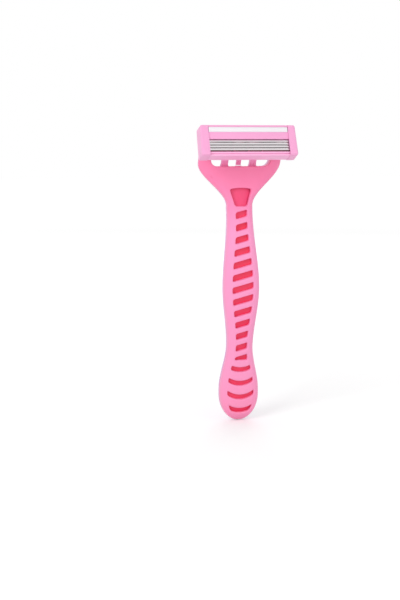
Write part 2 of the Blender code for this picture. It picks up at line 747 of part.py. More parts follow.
def build_tongue(root, hinge):
    """Spring leaf from the fork's plate to the cartridge's back, with a round pad at its tip."""
    finish = material("tongue_pink", LIGHT_PINK, 0.36)
    place = empty("tongue_hinge", hinge, root)
    turn = Matrix.Rotation(-HEAD_TILT, 3, "X")
    y, z = head_point(AXIS_ABOVE_FACE_MIDDLE - TONGUE_CONTACT_BELOW_AXIS, HEAD_BACK)
    contact = PIVOT + turn @ Vector((0.0, y + SEAT_GAP + TONGUE_PAD_RADIUS, z))
    tip = Vector((contact.y - hinge.y, contact.z - hinge.z))
    foot = Vector((0.0, SEAT_GAP / 2))
    bend = Vector((0.0, tip.y * TONGUE_BEND_SHARE))
    leaf = thick_path(bezier(foot, bend, tip, 8), TONGUE_THICKNESS, TONGUE_TIP_THICKNESS)
    tongue = piece("return_tongue", prism_x(leaf, -TONGUE_TIP_WIDTH / 2, TONGUE_TIP_WIDTH / 2), finish, place)
    join(tongue, rod_x(TONGUE_PAD_RADIUS, -TONGUE_WIDTH / 2, TONGUE_WIDTH / 2, tip.x, tip.y, 14))


def build_frame(head):
    """Hot pink frame: channel section, wash windows, boss troughs, bearing lugs and slotted ribs."""
    finish = material("frame_hot_pink", HOT_PINK, 0.4)
    section = [(FRAME_FOOT, HEAD_BACK), (FRAME_TOP, HEAD_BACK), (FRAME_TOP, BAR_FRONT), (WELL_TOP, BAR_FRONT),
               (WELL_TOP, WELL_FLOOR), (WELL_FOOT, WELL_FLOOR), (WELL_FOOT, BAR_FRONT),
               (WELL_FOOT - LOWER_BAR, BAR_FRONT), (WELL_FOOT - LOWER_BAR, WELL_FLOOR),
               (FRAME_FOOT, WELL_FLOOR)]
    frame = piece("cartridge_frame", head_prism(section, -FRAME_END, FRAME_END), finish, head)
    leg_foot = WELL_FLOOR + SEAT_GAP
    low = WELL_FOOT - SINK
    high = WELL_TOP + SINK
    floor = WELL_FLOOR - SINK
    for x in (-PRONG_X, 0.0, PRONG_X):
        join(frame, head_block(x - RIB_THICKNESS / 2, x + RIB_THICKNESS / 2, low, high, floor,
                               WELL_FLOOR + RIB_HEIGHT))
    for side in (-1, 1):
        ends = sorted((side * (FRAME_END - END_BLOCK), side * FRAME_END))
        join(frame, head_block(*ends, low, high, floor, BAR_FRONT - SINK))
    slots = []
    for i in range(BLADE_COUNT):
        v = leg_place(i).x
        slots.append(head_block(-BODY_END, BODY_END, v - SUPPORT_THICKNESS - FINE_GAP, v + FINE_GAP,
                                leg_foot - FINE_GAP, HEAD_FRONT))
    cut(frame, joined(slots))
    window_top = HEAD_TOP - WINDOW_TOP_BELOW_TOP
    spans = [(CENTRE_RIB / 2, PRONG_X - RIB_THICKNESS),
             (LUG_END + RIB_THICKNESS / 2, FRAME_END - END_BLOCK - SEAT_GAP)]
    windows = []
    for inner, outer in spans:
        for side in (-1, 1):
            ends = sorted((side * inner, side * outer))
            windows.append(head_block(*ends, window_top - WINDOW_HEIGHT, window_top, HEAD_BACK - OVERCUT,
                                      WELL_FLOOR + SINK))
    cut(frame, joined(windows))
    for side in (-1, 1):
        ends = sorted((side * (BOSS_START - SEAT_GAP), side * LUG_START))
        cut(frame, rod_x(BOSS_RADIUS + SEAT_GAP, *ends, 0.0, 0.0))
    v = AXIS_ABOVE_FACE_MIDDLE
    w = -AXIS_BEHIND_FACE_MIDDLE
    lug = [(v + LUG_HALF, HEAD_BACK + OVERCUT)]
    lug += [(v + LUG_HALF * cos(a), w - LUG_HALF * sin(a)) for a in steps(0.0, pi, 10)]
    lug += [(v - LUG_HALF, HEAD_BACK + OVERCUT)]
    for side in (-1, 1):
        ends = sorted((side * LUG_START, side * LUG_END))
        join(frame, head_prism(lug, *ends))
        ends = sorted((side * (LUG_START - OVERCUT / 2), side * (LUG_END + OVERCUT / 2)))
        cut(frame, rod_x(PIN_RADIUS + SEAT_GAP, *ends, 0.0, 0.0, 16))


def build_cover(head):
    """Cap over the top of the cartridge with the strip in its seat, and the guard below the blades."""
    finish = material("cover_light_pink", LIGHT_PINK, 0.34)
    white = material("strip_white", WHITE, 0.3)
    soft = material("guard_light_pink", LIGHT_PINK, 0.45)
    face = HEAD_FRONT - COVER_INSET
    seat_top = HEAD_TOP - STRIP_BELOW_TOP + FINE_GAP
    seat_foot = seat_top - STRIP_WIDTH - 2 * FINE_GAP
    seat = face - STRIP_SEAT_DEPTH
    inside = BAR_FRONT + SEAT_GAP
    clear = BLADE_THICKNESS / 2 + SEAT_GAP
    under = on_blade(0, BLADE_WIDTH, clear)
    nose_under = on_blade(0, (COVER_NOSE_ABOVE_MIDDLE + FIRST_EDGE_BELOW_MIDDLE) / cos(BLADE_ANGLE), clear)
    corners = [tuple(nose_under), (nose_under.x + FINE_GAP, face - COVER_SLOPE), (seat_foot, face),
               (seat_foot, seat), (seat_top, seat), (seat_top, face), (HEAD_TOP, face), (HEAD_TOP, HEAD_BACK),
               (HEAD_TOP - SHELL_WALL, HEAD_BACK), (HEAD_TOP - SHELL_WALL, inside), (WELL_TOP, inside),
               tuple(under)]
    section = rounded(corners, [0, 0, 0, 0, 0, 0, COVER_ROUND, COVER_ROUND, 0, 0, 0, 0])
    piece("cartridge_cover", head_prism(section, -BODY_END, BODY_END), finish, head)

    low = seat_foot + FINE_GAP
    high = seat_top - FINE_GAP
    middle = (low + high) / 2
    strip = [(low, seat + FINE_GAP), (high, seat + FINE_GAP)]
    for share in (1.0, 0.6, 0.0, -0.6, -1.0):
        strip.append((middle + STRIP_WIDTH / 2 * share, face + STRIP_CROWN * (1 - share * share)))
    piece("lubricating_strip", head_prism(strip, -BODY_END + FINE_GAP, BODY_END - FINE_GAP), white, head)

    crest = EDGE_FRONT + FINE_GAP
    inner = HEAD_FOOT + GUARD_NOSE
    groove = inner - GUARD_CREST
    beside = WELL_FOOT - LOWER_BAR - SEAT_GAP
    below = crest - GUARD_GROOVE / 2
    corners = [(FRAME_FOOT - SEAT_GAP, HEAD_BACK + SEAT_GAP), (FRAME_FOOT - SEAT_GAP, WELL_FLOOR + SEAT_GAP),
               (beside, WELL_FLOOR + SEAT_GAP), (beside, inside), (inner, inside), (inner, crest),
               (groove, crest), (groove - GUARD_GROOVE / 2, crest - GUARD_GROOVE),
               (groove - GUARD_GROOVE, below), (HEAD_FOOT, below), (HEAD_FOOT, HEAD_BACK + SEAT_GAP)]
    guard = rounded(corners, [0, 0, 0, 0, 0, GUARD_CREST_ROUND, 0, 0, 0, GUARD_EDGE_ROUND, GUARD_GROOVE], 3)
    piece("guard_bar", head_prism(guard, -BODY_END, BODY_END), soft, head)


def build_end_caps(head):
    """Caps over the cartridge's ends, open behind and on their inner side, holding the blades' ends down."""
    finish = material("cap_light_pink", LIGHT_PINK, 0.34)
    for name, side in (("left_end_cap", -1), ("right_end_cap", 1)):
        ends = sorted((side * CAP_INNER, side * HEAD_END))
        cap = piece(name, head_block(*ends, HEAD_FOOT, HEAD_TOP, HEAD_BACK, HEAD_FRONT), finish, head)
        soften = cap.modifiers.new("round_edges", "BEVEL")
        soften.width = CAP_BEVEL
        soften.segments = 2
        ends = sorted((side * (CAP_INNER - OVERCUT), side * (HEAD_END - CAP_WALL)))
        cut(cap, head_block(*ends, HEAD_FOOT + CAP_WALL, HEAD_TOP - CAP_WALL, HEAD_BACK - OVERCUT,
                            HEAD_FRONT - CAP_WALL))


def build_blades(head):
    """Four blades, each on its own bent support whose leg stands in the frame's slots."""
    steel = material("blade_steel", STEEL, 0.22, 1.0)
    dull = material("support_steel", STEEL, 0.35, 1.0)
    blade_end = CAP_INNER + BLADE_IN_CAP
    support_end = BODY_END - SEAT_GAP
    leg_foot = WELL_FLOOR + SEAT_GAP
    half = BLADE_THICKNESS / 2
    for i in range(BLADE_COUNT):
        section = [on_blade(i, 0.0, 0.0), on_blade(i, BLADE_BEVEL, half), on_blade(i, BLADE_WIDTH, half),
                   on_blade(i, BLADE_WIDTH, -half), on_blade(i, BLADE_BEVEL, -half)]
        piece(f"blade_{i + 1}", head_prism(section, -blade_end, blade_end), steel, head)
        top = -half - BLADE_GAP
        under = top - SUPPORT_THICKNESS
        leg = leg_place(i).x
        corner = (leg - SUPPORT_THICKNESS - blade_edge(i).x - under * sin(BLADE_ANGLE)) / cos(BLADE_ANGLE)
        bent = [on_blade(i, SUPPORT_SETBACK, top), leg_place(i), (leg, leg_foot),
                (leg - SUPPORT_THICKNESS, leg_foot), on_blade(i, corner, under),
                on_blade(i, SUPPORT_SETBACK, under)]
        piece(f"blade_support_{i + 1}", head_prism(bent, -support_end, support_end), dull, head)


def main():
    for old in list(bpy.data.objects):
        bpy.data.objects.remove(old, do_unlink=True)
    root = empty("handle_root", (0.0, -parting(GRIP), -GRIP))
    head = empty("head_pivot", PIVOT, root, -HEAD_TILT)
    build_handle(root)
    hinge = build_fork(root)
    build_tongue(root, hinge)
    build_frame(head)
    build_cover(head)
    build_end_caps(head)
    build_blades(head)
    bpy.context.view_layer.update()
    for name in ("handle_root", "head_pivot", "tongue_hinge"):
        place = bpy.data.objects[name].matrix_world.translation
        print(name, [round(value, 6) for value in place])


main()
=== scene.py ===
# %% [markdown]
# A four-blade razor, dressed over its frame.
#
# The frame holds every piece of the razor at its real size, as plain facets. This lesson works out the
# finished surface of each piece as a formula on a grid, gives it a plastic, rubber or steel finish, and
# shows the razor in a white studio from the photograph's side.

# %% Load the frame
import math

import bmesh
import bpy
import numpy as np
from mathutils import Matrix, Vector


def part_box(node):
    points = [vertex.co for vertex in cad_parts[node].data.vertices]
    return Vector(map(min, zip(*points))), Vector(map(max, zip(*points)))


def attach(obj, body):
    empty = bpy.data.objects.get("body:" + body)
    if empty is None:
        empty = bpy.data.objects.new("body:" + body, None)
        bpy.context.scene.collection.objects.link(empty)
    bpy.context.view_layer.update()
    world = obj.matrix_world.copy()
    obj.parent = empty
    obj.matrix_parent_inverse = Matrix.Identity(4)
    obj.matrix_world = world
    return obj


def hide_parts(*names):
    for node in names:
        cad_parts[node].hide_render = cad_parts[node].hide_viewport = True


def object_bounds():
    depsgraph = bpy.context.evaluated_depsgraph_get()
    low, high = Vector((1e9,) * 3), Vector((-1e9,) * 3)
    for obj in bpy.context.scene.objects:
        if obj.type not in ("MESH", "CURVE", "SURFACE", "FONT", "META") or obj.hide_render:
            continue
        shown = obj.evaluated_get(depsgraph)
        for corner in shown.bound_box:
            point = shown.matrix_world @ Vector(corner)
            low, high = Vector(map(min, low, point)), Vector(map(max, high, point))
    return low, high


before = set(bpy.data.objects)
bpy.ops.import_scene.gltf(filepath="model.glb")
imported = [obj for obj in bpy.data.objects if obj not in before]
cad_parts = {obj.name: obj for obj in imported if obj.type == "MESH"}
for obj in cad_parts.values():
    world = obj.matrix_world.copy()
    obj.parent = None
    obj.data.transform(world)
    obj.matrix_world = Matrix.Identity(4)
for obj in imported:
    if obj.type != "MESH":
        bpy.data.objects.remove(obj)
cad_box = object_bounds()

MM = 0.001


def in_scene(name, data):
    """New object that shows the given data, linked into the scene."""
    made = bpy.data.objects.new(name, data)
    bpy.context.scene.collection.objects.link(made)
    return made


lengths = [round(side / MM, 1) for side in cad_box[1] - cad_box[0]]
print("frame:", len(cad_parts), "nodes,", lengths, "mm")

# %% [markdown]
# The camera comes first, because every later choice is judged through it. It stands half a metre away, a
# little to the left of the razor and a little above its middle. The razor isn't in the middle of the
# picture, so the camera looks at a point beside it. A shift of the lens would do the same, but it would
# follow the camera to every other view.

# %% Camera
AZIMUTH = math.radians(-16.5)
ELEVATION = math.radians(7.9)
DISTANCE = 0.461
LENS = 63.25
SENSOR = 36.0
PICTURE_HEIGHT = 600
GRIP_RIGHT_OF_MIDDLE = 40.75
GRIP_ABOVE_MIDDLE = 12.8

toward = np.array((math.sin(AZIMUTH) * math.cos(ELEVATION), -math.cos(AZIMUTH) * math.cos(ELEVATION),
                   math.sin(ELEVATION)))
sideways = np.array((math.cos(AZIMUTH), math.sin(AZIMUTH), 0.0))
upwards = np.cross(toward, sideways)
pixel = DISTANCE * SENSOR / (LENS * PICTURE_HEIGHT)
aim = -pixel * (GRIP_RIGHT_OF_MIDDLE * sideways + GRIP_ABOVE_MIDDLE * upwards)

camera = in_scene("camera", bpy.data.cameras.new("camera"))
camera.data.lens = LENS
camera.data.sensor_width = SENSOR
camera.location = toward * DISTANCE
camera.rotation_euler = (Vector(aim) - camera.location).to_track_quat("-Z", "Y").to_euler()
bpy.context.scene.camera = camera
print("one pixel at the grip is", round(pixel / MM, 3), "mm")

# %% [markdown]
# The studio is a pale floor under the razor's tail and a white room. The room lights everything evenly. A
# large lamp in front, high on the left, gives the soft shadows inside the windows, a low one reaches
# under the head, and two more light the right side and the back. Rays from the camera see the room and
# the floor as plain white, which the light on the razor doesn't change. The floor's own glow grows with
# the distance, because the lamps' light fades there. The lamps themselves are hidden from the camera and
# from mirrors: the blades are flat enough to show a whole lamp at some angles, and would then turn plain
# white.

# %% Studio
FLOOR_HALF = 3.0
FLOOR_GAP = 0.2 * MM
FLOOR_GREY = 0.8
GLOW = {"From Min": 0.1, "From Max": 1.2, "To Min": 0.26, "To Max": 0.5}
ROOM_LEVEL = 0.64
WHITE = (1.0, 1.0, 1.0, 1.0)


def nodes_of(tree):
    """Empty a node tree and return short ways to add a node with its inputs and to join two sockets."""
    tree.nodes.clear()

    def add(kind, inputs=None, **values):
        node = tree.nodes.new(kind)
        for key, value in values.items():
            setattr(node, key, value)
        for label, value in (inputs or {}).items():
            node.inputs[label].default_value = value
        return node

    def join(source, output, target, label):
        tree.links.new(source.outputs[output], target.inputs[label])

    return add, join


def new_material(name):
    """Empty node material, with the ways to add and join its nodes."""
    finish = bpy.data.materials.new(name)
    finish.use_nodes = True
    return finish, *nodes_of(finish.node_tree)


def seen_directly(add, join):
    """Node that is 1 for rays that should see plain white: from the camera, a mirror or a clear body."""
    path = add("ShaderNodeLightPath")
    some = add("ShaderNodeMath", operation="MAXIMUM")
    every = add("ShaderNodeMath", operation="MAXIMUM")
    join(path, "Is Camera Ray", some, 0)
    join(path, "Is Glossy Ray", some, 1)
    join(some, 0, every, 0)
    join(path, "Is Transmission Ray", every, 1)
    return every


def white_room():
    """World that lights at ROOM_LEVEL and looks white."""
    world = bpy.data.worlds.new("white_room")
    world.use_nodes = True
    add, join = nodes_of(world.node_tree)
    level = add("ShaderNodeMapRange", {"To Min": ROOM_LEVEL, "To Max": 1.0})
    glow = add("ShaderNodeBackground", {"Color": WHITE})
    join(seen_directly(add, join), 0, level, "Value")
    join(level, "Result", glow, "Strength")
    join(glow, 0, add("ShaderNodeOutputWorld"), "Surface")
    bpy.context.scene.world = world


def pale_floor():
    """White floor: it takes the razor's shadow, and a glow that only direct rays see lifts it to white."""
    finish, add, join = new_material("pale_floor")
    body = add("ShaderNodeBsdfDiffuse", {"Color": (FLOOR_GREY, FLOOR_GREY, FLOOR_GREY, 1.0)})
    glow = add("ShaderNodeEmission", {"Color": WHITE})
    away = add("ShaderNodeVectorMath", operation="LENGTH")
    faded = add("ShaderNodeMapRange", GLOW)
    level = add("ShaderNodeMath", operation="MULTIPLY")
    both = add("ShaderNodeAddShader")
    join(add("ShaderNodeTexCoord"), "Object", away, 0)
    join(away, "Value", faded, "Value")
    join(seen_directly(add, join), 0, level, 0)
    join(faded, "Result", level, 1)
    join(level, 0, glow, "Strength")
    join(body, 0, both, 0)
    join(glow, 0, both, 1)
    join(both, 0, add("ShaderNodeOutputMaterial"), "Surface")
    mesh = bpy.data.meshes.new("floor")
    z = cad_box[0].z - FLOOR_GAP
    signs = ((-1, -1), (1, -1), (1, 1), (-1, 1))
    mesh.from_pydata([(FLOOR_HALF * a, FLOOR_HALF * b, z) for a, b in signs], [], [(0, 1, 2, 3)])
    mesh.materials.append(finish)
    in_scene("floor", mesh)


def lamp(name, place, size, level):
    """Square lamp that looks at the grip; level is the brightness it gives a white face turned to it."""
    light = bpy.data.lights.new(name, "AREA")
    light.size = size
    light.energy = level * math.pi ** 2 * Vector(place).length_squared
    made = in_scene(name, light)
    made.location = place
    made.rotation_euler = (-Vector(place)).to_track_quat("-Z", "Y").to_euler()
    made.visible_camera = False
    made.visible_glossy = False


bpy.context.scene.view_settings.view_transform = "Standard"
white_room()
pale_floor()
lamp("key", (-0.6, -0.48, 0.42), 0.35, 0.34)
lamp("low", (0.05, -0.5, -0.01), 0.4, 0.22)
lamp("side", (0.6, -0.45, 0.1), 0.5, 0.08)
lamp("back", (0.2, 0.6, 0.45), 0.5, 0.25)
print("studio: room at", ROOM_LEVEL, "and", len(bpy.data.lights), "lamps")

# %% [markdown]
# Moulded plastic is never one flat colour: pigment flows unevenly in the mould, and the mould's fine
# grain breaks up the gloss. Two node groups hold what all the plastics share. One gives a slow mottle and
# a fine grain from noise on the object's own coordinates, the other gives how high a point lies on the
# razor, so that a colour can change from tail to yoke: the front shell's paler grip is painted sheen, and
# the back shell runs from a darker tail to a paler yoke. Only masks and values leave the
# groups. The shader stays in each material.

# %% Shared effects
def shader_group(name, inputs, outputs):
    """New shader node group with float inputs and outputs; returns it with its ways to add and join."""
    tree = bpy.data.node_groups.new(name, "ShaderNodeTree")
    for label in inputs:
        tree.interface.new_socket(label, in_out="INPUT", socket_type="NodeSocketFloat")
    for label in outputs:
        tree.interface.new_socket(label, in_out="OUTPUT", socket_type="NodeSocketFloat")
    add, join = nodes_of(tree)
    return tree, add, join, add("NodeGroupInput"), add("NodeGroupOutput")


def moulded_skin():
    """Mottle: slow noise from 0 to 1. Grain: fine noise for a bump."""
    tree, add, join, given, result = shader_group("moulded_skin", ["Mottle Scale", "Grain Scale"],
                                                  ["Mottle", "Grain"])
    place = add("ShaderNodeTexCoord")
    for scale, output, detail in (("Mottle Scale", "Mottle", 3.0), ("Grain Scale", "Grain", 2.0)):
        noise = add("ShaderNodeTexNoise", {"Detail": detail})
        join(place, "Object", noise, "Vector")
        join(given, scale, noise, "Scale")
        join(noise, "Fac", result, output)
    return tree


def height_share():
    """Share: 0 at the height Low, 1 at the height High, straight between."""
    tree, add, join, given, result = shader_group("height_share", ["Low", "High"], ["Share"])
    place = add("ShaderNodeTexCoord")
    parts = add("ShaderNodeSeparateXYZ")
    ramp = add("ShaderNodeMapRange")
    join(place, "Object", parts, 0)
    join(parts, "Z", ramp, "Value")
    join(given, "Low", ramp, "From Min")
    join(given, "High", ramp, "From Max")
    join(ramp, "Result", result, "Share")
    return tree


def ground_lines():
    """Lines: noise drawn out along X, as grinding leaves on steel, from 0 to 1."""
    tree, add, join, given, result = shader_group("ground_lines", ["Along", "Across"], ["Lines"])
    place = add("ShaderNodeTexCoord")
    parts = add("ShaderNodeSeparateXYZ")
    stretched = add("ShaderNodeCombineXYZ")
    noise = add("ShaderNodeTexNoise", {"Scale": 1.0, "Detail": 4.0})
    join(place, "Object", parts, 0)
    for axis, label in (("X", "Along"), ("Y", "Across"), ("Z", "Across")):
        times = add("ShaderNodeMath", operation="MULTIPLY")
        join(parts, axis, times, 0)
        join(given, label, times, 1)
        join(times, 0, stretched, axis)
    join(stretched, 0, noise, "Vector")
    join(noise, "Fac", result, "Lines")
    return tree


SKIN = moulded_skin()
HEIGHT = height_share()
GROUND = ground_lines()
print("node groups:", SKIN.name, HEIGHT.name, GROUND.name)

# %% [markdown]
# Each plastic is then a row of colours up the razor, a small amount of paler mottle, a roughness that
# follows the mottle, and a faint grain in the normal. Colours are written as screen values from 0 to 255,
# as one reads them in a picture, and turned into the linear values that shaders use.

# %% Plastics
TAIL_Z = cad_box[0].z
YOKE_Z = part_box("handle_front_shell")[1].z
MOTTLE_SCALE = 160.0
MOTTLE_PALE = (0.5, 0.42, 0.5, 1.0)
ROUGHNESS_SPREAD = 0.06


def linear(colour):
    """Linear RGBA from screen values: each c/255 is raised by the screen's curve."""
    c = np.array(colour) / 255.0
    curve = np.where(c <= 0.04045, c / 12.92, ((c + 0.055) / 1.055) ** 2.4)
    return (*curve, 1.0)


def plastic(name, stops, roughness, mottle=0.1, grain=0.02, grain_scale=9000.0):
    """Moulded plastic; stops are (share of the height, colour) from the tail to the yoke."""
    finish, add, join = new_material(name)
    skin = add("ShaderNodeGroup", {"Mottle Scale": MOTTLE_SCALE, "Grain Scale": grain_scale}, node_tree=SKIN)
    height = add("ShaderNodeGroup", {"Low": TAIL_Z, "High": YOKE_Z}, node_tree=HEIGHT)
    ramp = add("ShaderNodeValToRGB")
    marks = ramp.color_ramp.elements
    for index, (share, colour) in enumerate(stops):
        mark = marks[index] if index < 2 else marks.new(share)
        mark.position = share
        mark.color = linear(colour)
    pale = add("ShaderNodeMix", {"B": MOTTLE_PALE}, data_type="RGBA", blend_type="SCREEN")
    amount = add("ShaderNodeMath", {1: mottle}, operation="MULTIPLY")
    rough = add("ShaderNodeMapRange", {"To Min": roughness - ROUGHNESS_SPREAD,
                                       "To Max": roughness + ROUGHNESS_SPREAD})
    bump = add("ShaderNodeBump", {"Strength": 1.0, "Distance": grain * MM})
    shader = add("ShaderNodeBsdfPrincipled")
    join(height, "Share", ramp, "Fac")
    join(skin, "Mottle", amount, 0)
    join(amount, 0, pale, "Factor")
    join(ramp, "Color", pale, "A")
    join(skin, "Mottle", rough, "Value")
    join(skin, "Grain", bump, "Height")
    join(pale, "Result", shader, "Base Color")
    join(rough, "Result", shader, "Roughness")
    join(bump, "Normal", shader, "Normal")
    join(shader, 0, add("ShaderNodeOutputMaterial"), "Surface")
    return finish


def even(colour):
    """Stops of one colour from tail to yoke."""
    return [(0.0, colour), (1.0, colour)]


# Front pink: the deeper pink at the yoke is the plastic's own colour; the paler pink below it, over the tail
# and the grip's rim and ribs, is painted sheen.
FRONT_PINK = plastic("front_pink", [(0.0, (255, 144, 188)), (1.0, (254, 124, 174)),
                                    (0.2, (251, 150, 196)), (0.7, (251, 152, 200)),
                                    (0.86, (254, 128, 177))], 0.36)
# Core: the deeper reds up the ladder's narrow windows are painted shade; the paler pink from 0.8 up, in the
# open thumb window, is the same plastic lit.
CORE_PINK = plastic("core_hot_pink", [(0.0, (240, 48, 96)), (1.0, (240, 66, 120)),
                                      (0.74, (238, 30, 78)), (0.8, (240, 66, 120))], 0.45)
LAVENDER = plastic("back_lavender", [(0.0, (206, 150, 196)), (1.0, (250, 196, 236)),
                                     (0.15, (220, 160, 210)), (0.6, (231, 168, 222)),
                                     (0.85, (240, 182, 230))], 0.42)
INSERT_PINK = plastic("insert_pink", [(0.0, (252, 138, 192)), (1.0, (254, 142, 196))], 0.5, grain=0.03)
FORK_PINK = plastic("fork_pink", even((254, 180, 224)), 0.36)
# Frame: moulded in the cover's light pink; this deeper hot pink is painted shade of its recessed back, which
# faces down.
FRAME_SHADE_PINK = plastic("frame_hot_pink", even((246, 112, 164)), 0.38)
COVER_PINK = plastic("cover_light_pink", even((246, 166, 211)), 0.34)
GUARD_PINK = plastic("guard_light_pink", even((254, 182, 222)), 0.45, grain=0.03)
STRIP_WHITE = plastic("strip_white", even((240, 236, 240)), 0.3, 0.25, 0.03, 5000.0)
print("plastics:", sum(1 for m in bpy.data.materials if m.use_nodes) - 1)

# %% [markdown]
# The blades are ground strip steel. Grinding leaves fine lines along the edge, so the steel's roughness
# and its bump follow noise that is drawn out along the blade.

# %% Steel
LINES_ALONG = 150.0
LINES_ACROSS = 9000.0
LINE_DEPTH = 0.004 * MM
LINE_SHADE = 0.86
SMOOTHER = 0.1
ROUGHER = 0.12


def steel(name, colour, roughness):
    """Ground steel with lines along X."""
    finish, add, join = new_material(name)
    lines = add("ShaderNodeGroup", {"Along": LINES_ALONG, "Across": LINES_ACROSS}, node_tree=GROUND)
    rough = add("ShaderNodeMapRange", {"To Min": roughness - SMOOTHER, "To Max": roughness + ROUGHER})
    shades = {"A": linear(colour), "B": linear([LINE_SHADE * c for c in colour])}
    tone = add("ShaderNodeMix", shades, data_type="RGBA")
    bump = add("ShaderNodeBump", {"Distance": LINE_DEPTH})
    shader = add("ShaderNodeBsdfPrincipled", {"Metallic": 1.0})
    for target, label in ((rough, "Value"), (tone, "Factor"), (bump, "Height")):
        join(lines, "Lines", target, label)
    join(tone, "Result", shader, "Base Color")
    join(rough, "Result", shader, "Roughness")
    join(bump, "Normal", shader, "Normal")
    join(shader, 0, add("ShaderNodeOutputMaterial"), "Surface")
    return finish


BLADE_STEEL = steel("blade_steel", (242, 236, 239), 0.25)
SUPPORT_STEEL = steel("support_steel", (205, 200, 204), 0.36)
print("steels:", BLADE_STEEL.name, SUPPORT_STEEL.name)

# %% [markdown]
# Now the handle. Its outline runs through five stations: a round tail, a waist, the grip, a neck, and a
# flare out to the yoke. Between two stations the width eases over with the same smooth step, so one small
# function gives width, thickness and the forward bow of the handle at any height. Heights are measured
# from the tail's end.

# %% Handle profile
TAIL_ROUND, BULB, WAIST, GRIP, NECK, FLARE, SHOULDER, ARM_TIP = (
    MM * np.array((12.0, 14.0, 34.0, 60.0, 92.0, 95.5, 114.0, 120.0)))
TAIL_BLUNTNESS = 0.05
GRIP_BOW = 3.2 * MM
SETBACK = 1.2 * MM
SETBACK_HEIGHT = 110.0 * MM
ARM_LEAN = 1.6 * MM
ARM_ROUND = 1.3 * MM
ARM_TIP_BLUNTNESS = 0.35
SEAM = 0.15 * MM
SEAM_LEFT = 0.03 * MM
GAP = 0.3 * MM


def eased(height, stations):
    """Value at each height: between two (height, value) stations it moves by t*t*(3 - 2t)."""
    places, values = np.array(stations, float).T
    i = np.clip(np.searchsorted(places, height) - 1, 0, len(places) - 2)
    t = np.clip((height - places[i]) / (places[i + 1] - places[i]), 0.0, 1.0)
    return values[i] + (values[i + 1] - values[i]) * t * t * (3.0 - 2.0 * t)


def tail_scale(height):
    """Share of the section left in the round tail: a quarter ellipse, sqrt(1 - t*t), with a flat end."""
    t = np.clip((TAIL_ROUND - height) / TAIL_ROUND, 0.0, 1.0)
    return np.sqrt(1.0 - t * t * (1.0 - TAIL_BLUNTNESS ** 2))


def tip_scale(height):
    """Share of the section left in the round end of a yoke arm."""
    t = np.clip((height - ARM_TIP + ARM_ROUND) / ARM_ROUND, 0.0, 1.0)
    return np.sqrt(1.0 - t * t * (1.0 - ARM_TIP_BLUNTNESS ** 2))


def half_width(height):
    """Half width of the handle through its stations, drawn in at the tail and at the arms' tips."""
    stations = ((BULB, 8.8 * MM), (WAIST, 5.75 * MM), (GRIP, 8.05 * MM), (NECK, 5.65 * MM),
                (FLARE, 5.65 * MM), (SHOULDER, 18.4 * MM))
    return eased(height, stations) * tail_scale(height) - ARM_ROUND * (1.0 - tip_scale(height))


def half_depth(height):
    """Half thickness of the handle, from its parting plane to its crown."""
    stations = ((BULB, 4.5 * MM), (WAIST, 4.1 * MM), (GRIP, 4.4 * MM), (NECK, 4.0 * MM), (SHOULDER, 3.2 * MM),
                (ARM_TIP, 2.6 * MM))
    return eased(height, stations) * tail_scale(height) * tip_scale(height)


def parting(height):
    """Y of the parting plane: forward at the grip, back at the yoke, forward again at the arms' tips."""
    return eased(height, ((BULB, 0.0), (GRIP, -GRIP_BOW), (SETBACK_HEIGHT, SETBACK), (ARM_TIP, -ARM_LEAN)))


def crown(height, x):
    """Height of the shell over the parting plane: a squared ellipse, depth * (1 - |x/width|^3)^(1/3)."""
    share = np.minimum(np.abs(x) / half_width(height), 1.0)
    return (half_depth(height) - SEAM) * np.cbrt(1.0 - share ** 3)


def in_frame(x, y, height):
    """Points in the frame's own coordinates, whose origin is the middle of the grip."""
    return np.stack(np.broadcast_arrays(x, y + GRIP_BOW, height - GRIP), axis=-1)


def from_parting(x, rise, height):
    """Points that lie behind the parting plane by rise, or in front of it where rise is negative."""
    return in_frame(x, parting(height) + rise, height)


for label, height in (("tail", BULB), ("waist", WAIST), ("grip", GRIP), ("neck", NECK), ("yoke", SHOULDER)):
    print(label, round(float(2 * half_width(height)) / MM, 1), "mm wide")

# %% [markdown]
# A shell with windows could be cut with Booleans, but the cuts leave long thin faces that shade badly.
# Here it is a woven sheet instead: lengthwise lines that follow the windows' ends, and cross lines that
# are slanted, curved or level as the windows' edges are. A window is then simply a block of cells that is
# left out. Two such sheets, an outer and an inner one, are joined by walls round every hole and along the
# border, which gives a closed body.

# %% From grids to closed pieces
SHARP = math.radians(38.0)


def as_object(name, points, faces):
    """Object of a closed mesh: doubles are merged, faces point outwards, low edges are shaded smooth."""
    mesh = bpy.data.meshes.new(name)
    mesh.from_pydata(points, [], faces)
    bm = bmesh.new()
    bm.from_mesh(mesh)
    bmesh.ops.remove_doubles(bm, verts=bm.verts, dist=0.001 * MM)
    bmesh.ops.dissolve_degenerate(bm, edges=bm.edges, dist=0.0001 * MM)
    bmesh.ops.recalc_face_normals(bm, faces=bm.faces)
    bm.to_mesh(mesh)
    bm.free()
    mesh.shade_smooth()
    mesh.set_sharp_from_angle(angle=SHARP)
    return in_scene(name, mesh)


def dress(made, finish, body, slot, *nodes):
    """Give a piece its finish, the body it rides on and the frame nodes it stands for; slot is not used."""
    made.data.materials.clear()
    made.data.materials.append(finish)
    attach(made, body)
    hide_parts(*nodes)
    print(made.name, len(made.data.polygons), "faces")
    return made


